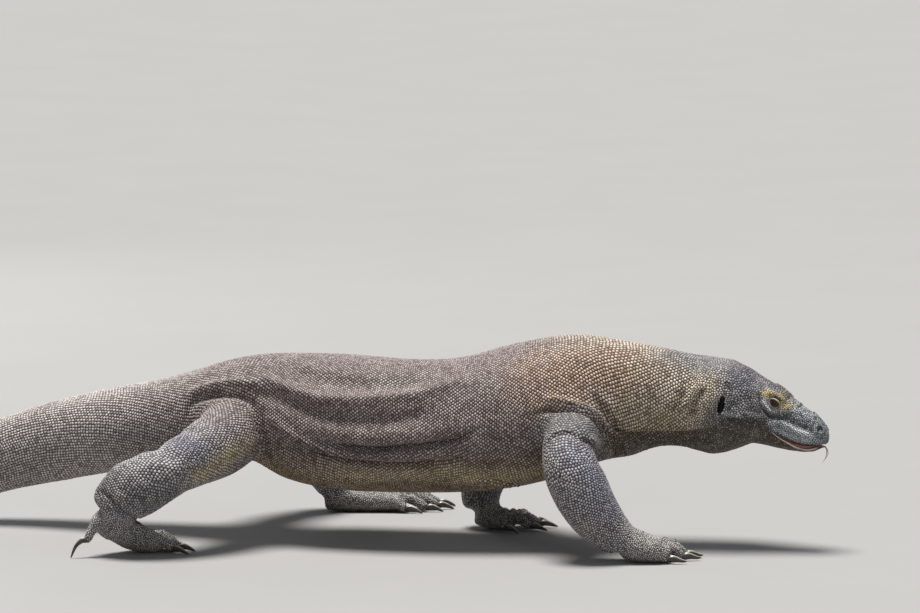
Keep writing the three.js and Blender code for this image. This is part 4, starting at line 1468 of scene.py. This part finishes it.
eye_wet = Material("eye_wet", 0.12, 0.2, Coat_Weight=0.25, Coat_Roughness=0.03)
off_gaze = eye_wet.read("off_gaze")
past_pupil = off_gaze.spread(PUPIL_EDGE - 0.04, PUPIL_EDGE + 0.04)
past_iris = off_gaze.spread(IRIS_EDGE - 0.05, IRIS_EDGE + 0.1)
iris = eye_wet.mix(eye_wet.grain(520.0, 3.0), (0.028, 0.009, 0.006), (0.085, 0.030, 0.014))
ringed = eye_wet.mix(past_pupil, (0.004, 0.003, 0.003), iris)
eye_wet.colour(eye_wet.mix(past_iris, ringed, (0.028, 0.014, 0.010)))

for name, side in (("right", -1), ("left", 1)):
    centre, gaze = eye_seat(side)
    ball = bmesh.new()
    bmesh.ops.create_uvsphere(ball, u_segments=40, v_segments=28, radius=EYE_RADIUS)
    bmesh.ops.rotate(ball, verts=ball.verts, matrix=gaze.to_track_quat("Z", "Y").to_matrix())
    bmesh.ops.translate(ball, verts=ball.verts, vec=centre)
    mesh = meshed("eyeball_" + name, ball)
    marked(mesh, {"off_gaze": [(v.co - centre).angle(gaze) for v in mesh.vertices]})
    mesh.materials.append(eye_wet.made)
    piece = linked("eyeball_" + name, mesh)
    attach(piece, "root")
    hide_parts("eye_" + name)


# ---- Eyelids --------------------------------------------------------------------------------
# A thick ring of pebbled skin round each eye, drawn out from a circle ring by ring. Its inner
# rim hugs the eyeball, dark above and pinkish below, and its outer edge runs under the face.

LID_STEPS = 48
# Rings from the rim outwards: turn away from the gaze as a share of the opening, then millimetres
# out from the eyeball's centre.
LID_RINGS = (
    (0.97, 10.2), (1.00, 11.2), (1.06, 12.0), (1.18, 12.5), (1.34, 12.6), (1.54, 12.3),
    (1.74, 11.6), (1.95, 10.4),
)
LID_OPEN_ALONG, LID_OPEN_UP, LID_OPEN_DOWN = 60, 29, 42  # degrees from the gaze to the rim
LID_WIDTH = 62  # degrees at most to each whole share past the rim
LID_TILT = -0.18
UPPER_LID_HEAVY = 1.7
RIM_RINGS = 3
YELLOW_CORNER = 0.9  # radians up from the front of the eye

lid_hide = Material("lid_hide", 0.42, 0.5)
rim = lid_hide.read("rim")
below = lid_hide.read("below")
yellow = lid_hide.read("yellow")
pebble = lid_hide.grain(620.0, 1.0)
lid_tone = lid_hide.mix(pebble.spread(0.40, 0.62), (0.030, 0.029, 0.028), (0.25, 0.245, 0.235))
lid_tone = lid_hide.mix((yellow * (0.3 + 0.9 * pebble)).clamped(), lid_tone, (0.50, 0.40, 0.12))
lid_tone = lid_hide.mix(rim * below * 0.5, lid_tone, (0.30, 0.22, 0.20))
lid_hide.colour(lid_hide.mix(rim * (1 - below) * 0.8, lid_tone, (0.03, 0.022, 0.018)))
lid_hide.bump(pebble, 0.8, 0.0009)


def swing_of(v):
    return math.atan2(v.co.y, v.co.x)


def drawn_rings(shape, sides, count):
    """Draws a ring of corners out again and again, and gives each ring's corners in their order
    round it. All lie on the first until they are placed."""
    ring = bmesh.ops.create_circle(shape, segments=sides, radius=1)["verts"]
    rings = [sorted(ring, key=swing_of)]
    edges = shape.edges[:]
    for _ in range(count - 1):
        made = bmesh.ops.extrude_edge_only(shape, edges=edges)["geom"]
        edges = [g for g in made if isinstance(g, bmesh.types.BMEdge)]
        rings.append(sorted((g for g in made if isinstance(g, bmesh.types.BMVert)), key=swing_of))
    return rings


for name, side in (("right", -1), ("left", 1)):
    centre, gaze = eye_seat(side)
    forward = HEAD_TURN @ Vector((1, 0, LID_TILT))
    forward = (forward - gaze * forward.dot(gaze)).normalized()
    upward = forward.cross(gaze) * -side
    upward = upward if upward.z > 0 else -upward
    lid = bmesh.new()
    rings = drawn_rings(lid, LID_STEPS, len(LID_RINGS))
    marks = {}
    for step, (share, out) in enumerate(LID_RINGS):
        for v in rings[step]:
            swing = swing_of(v)
            tall = LID_OPEN_UP if math.sin(swing) > 0 else LID_OPEN_DOWN
            turn = 1 / math.hypot(math.cos(swing) / LID_OPEN_ALONG, math.sin(swing) / tall)
            away = math.radians(min(turn * share, turn + LID_WIDTH * (share - 1)))
            way = math.cos(swing) * forward + math.sin(swing) * upward
            heavy = UPPER_LID_HEAVY * max(0, math.sin(swing)) * (step > 1)
            corner = between(math.cos(swing - YELLOW_CORNER), 0.45, 0.95) * (step >= RIM_RINGS)
            marks[v] = (step < RIM_RINGS, between(-math.sin(swing), -0.1, 0.4), corner)
            reach = (out + heavy) * MILLIMETRE
            v.co = centre + reach * (math.cos(away) * gaze + math.sin(away) * way)
    bmesh.ops.recalc_face_normals(lid, faces=lid.faces)
    outer = max(lid.faces, key=lambda f: (f.calc_center_median() - centre).length)
    if outer.normal.dot(outer.calc_center_median() - centre) < 0:
        bmesh.ops.reverse_faces(lid, faces=lid.faces)
    lid.verts.index_update()
    held = np.array([marks[v] for v in lid.verts], float)
    mesh = meshed("eyelids_" + name, lid)
    marked(mesh, dict(zip(("rim", "below", "yellow"), held.T)))
    mesh.materials.append(lid_hide.made)
    piece = linked("eyelids_" + name, mesh)
    finish = piece.modifiers.new("round", "SUBSURF")
    finish.levels = finish.render_levels = 1
    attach(piece, "root")


# ---- Mouth ----------------------------------------------------------------------------------
# Moist pink flesh between the parted lips, and the pale rim along the lower lip. Both are tubes
# drawn through rings: the flesh from the corners of the mouth to its front, the rim round it.

# Across the mouth, from its corner to the front: distance from the ear, half width, height of
# the middle and half the thickness, in millimetres.
MOUTH_FLESH = (
    (104, 45, 4, 1.5), (116, 43.5, -1, 3), (130, 41, -5, 4.5), (148, 38, -8, 5.5),
    (168, 35, -10.5, 6), (186, 30, -9, 6), (200, 24, -4.5, 5.5), (209, 16, 0.5, 4.5),
    (214, 8, 3.5, 3),
)
# Along the lower lip: distance from the ear, out to the side, and height, in millimetres.
LOWER_LIP_RIM = (
    (110, 46.6, 3), (122, 45, -3.5), (136, 42.6, -8.5), (156, 39.2, -12), (175, 35.6, -13.6),
    (191, 30.5, -12.6), (204, 23.5, -8), (212, 13, -2.5), (215.5, 0, 1),
)
FLESH_SIDES, RIM_SIDES = 20, 10
RIM_THICK, RIM_TALL = 1.7, 1.1  # millimetres, and its height as a share of that
RIM_END, RIM_SWELL = 0.35, 2.5
RIM_STEP = 4.0


def swept(name, rings):
    """A tube whose first ring is drawn out through all the others, capped at both ends."""
    tube = bmesh.new()
    ring = bmesh.ops.create_circle(tube, segments=len(rings[0]), radius=1, cap_ends=True)["verts"]
    order = {v: i for i, v in enumerate(sorted(ring, key=swing_of))}
    for v, i in order.items():
        v.co = rings[0][i]
    cap = tube.faces[:][0]
    for places in rings[1:]:
        made = bmesh.ops.extrude_face_region(tube, geom=[cap])["geom"]
        cap = next(g for g in made if isinstance(g, bmesh.types.BMFace))
        moved = {v: order[min(order, key=lambda old: (old.co - v.co).length_squared)] for v in cap.verts}
        for v, i in moved.items():
            v.co = places[i]
        order = moved
    bmesh.ops.recalc_face_normals(tube, faces=tube.faces)
    return meshed(name, tube)


def round_turns(count):
    return [2 * math.pi * i / count - math.pi for i in range(count)]


def rings_along(line, widths, tall, out_from, sides):
    """Rings of places round a line in the head. `out_from` gives each ring's way out to the side,
    and `tall` is its height as a share of its width."""
    rings = []
    for i, (at, wide) in enumerate(zip(line, widths)):
        way = Vector(line[min(i + 1, len(line) - 1)] - line[max(i - 1, 0)]).normalized()
        out = out_from(way)
        high = tall * out.cross(way)
        rings.append([
            head_point(*(Vector(at) + float(wide) * (math.cos(t) * out + math.sin(t) * high)))
            for t in round_turns(sides)
        ])
    return rings


flesh_wet = Material("mouth_flesh", 0.3, 0.5, Coat_Weight=0.4, Coat_Roughness=0.15)
flesh_wet.colour(flesh_wet.mix(flesh_wet.grain(240.0), (0.13, 0.045, 0.045), (0.30, 0.12, 0.11)))
flesh_wet.bump(flesh_wet.grain(500.0), 0.4, 0.0006)
rings = []
for x, half, z, thick in MOUTH_FLESH:
    rings.append([head_point(x, half * math.cos(t), z + thick * math.sin(t))
                  for t in round_turns(FLESH_SIDES)])
mouth = swept("mouth_flesh", rings)
mouth.materials.append(flesh_wet.made)
piece = linked("mouth_flesh", mouth)
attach(piece, "root")

rim_skin = Material("lip_rim", 0.4, 0.5)
rim_skin.colour(rim_skin.mix(rim_skin.grain(300.0), (0.34, 0.24, 0.21), (0.62, 0.50, 0.46)))
rim_skin.bump(rim_skin.grain(700.0), 0.5, 0.0005)
right_rim = [(x, -y, z) for x, y, z in LOWER_LIP_RIM]
line, _ = smooth_line(right_rim + list(reversed(LOWER_LIP_RIM[:-1])), RIM_STEP)
from_ends = [min(i, len(line) - 1 - i) / len(line) for i in range(len(line))]
widths = [RIM_THICK * min(1, RIM_END + RIM_SWELL * share) for share in from_ends]
rings = rings_along(line, widths, RIM_TALL, lambda way: way.cross(Vector((0, 0, 1))).normalized(),
                    RIM_SIDES)
rim_mesh = swept("lip_rim", rings)
rim_mesh.materials.append(rim_skin.made)
piece = linked("lip_rim", rim_mesh)
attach(piece, "root")


# ---- Tongue ---------------------------------------------------------------------------------
# A flat moist stem that leaves the front of the mouth, and two fine tips that hang from it. They
# are three flattened tubes in one mesh.

# The stem and the tips: place in the head's frame and half the width, in millimetres.
TONGUE_STEM = ((180, -6, -9.4, 6), (198, -8, -4.8, 5), (213, -9, 3.2, 4.2), (227, -10, 6.0, 3.2))
TONGUE_TIPS = (
    ((223, -10.6, 6.0, 1.9), (231, -12, 2.6, 1.7), (236, -14.5, -11, 1.3), (234, -15, -25, 0.6)),
    ((223, -9.2, 6.0, 1.9), (231, -7.5, 2.6, 1.7), (236, -4.5, -8, 1.3), (234, -4, -19, 0.6)),
)
TONGUE_THICK = 0.42  # of its half width
TONGUE_SIDES, TONGUE_STEP = 12, 2.0

tongue_skin = Material("tongue", 0.3, 0.5, Coat_Weight=0.5, Coat_Roughness=0.1)
tongue_skin.colour(tongue_skin.mix(tongue_skin.grain(300.0), (0.16, 0.06, 0.06), (0.30, 0.14, 0.13)))
tongue_skin.bump(tongue_skin.grain(900.0), 0.3, 0.0003)
fork = bmesh.new()
for strand in (TONGUE_STEM, *TONGUE_TIPS):
    line, _ = smooth_line([p[:3] for p in strand], TONGUE_STEP)
    shares = np.linspace(0, 1, len(line))
    widths = np.interp(shares, np.linspace(0, 1, len(strand)), [p[3] for p in strand])
    rings = rings_along(line, widths, TONGUE_THICK, lambda way: Vector((0, 1, 0)) - way * way.y,
                        TONGUE_SIDES)
    strand_mesh = swept("strand", rings)
    fork.from_mesh(strand_mesh)
    bpy.data.meshes.remove(strand_mesh)
tongue_mesh = meshed("tongue_fork", fork)
tongue_mesh.materials.append(tongue_skin.made)
piece = linked("tongue_fork", tongue_mesh)
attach(piece, "root")
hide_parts("tongue")


# ---- Claws ----------------------------------------------------------------------------------
# Dark curved horn, worn pale along its upper edge, growing out of the last scales of each digit.
# Each is the solid of its claw, swollen a little and rounded off.

CLAW_SWELL = 0.0005

claw_horn = Material("claw_horn", 0.34, 0.5)
fibre = claw_horn.grain(190.0, 4.0)
worn = (claw_horn.read("worn") * (0.5 + 0.8 * fibre)).clamped() * 0.75
claw_tone = claw_horn.mix(fibre.spread(0.35, 0.7), (0.020, 0.016, 0.013), (0.075, 0.062, 0.052))
claw_horn.colour(claw_horn.mix(worn, claw_tone, (0.58, 0.53, 0.46)))
claw_horn.bump(fibre, 0.5, 0.0004)

for paw in PAWS:
    for digit in range(1, 6):
        name = f"horn_{paw}_{digit}"
        owner = linked("claw_solid", meshed(name, flesh_of((f"claw_{paw}_{digit}",), CLAW_SWELL)))
        finish = owner.modifiers.new("round", "SUBSURF")
        finish.levels = finish.render_levels = 2
        mesh = applied(owner)
        mesh.name = name
        mesh.shade_smooth()
        marked(mesh, {"worn": between(normals_of(mesh)[:, 2], 0.35, 0.95)})
        mesh.materials.append(claw_horn.made)
        piece = linked(name, mesh)
        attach(piece, "root")
        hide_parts(f"claw_{paw}_{digit}")
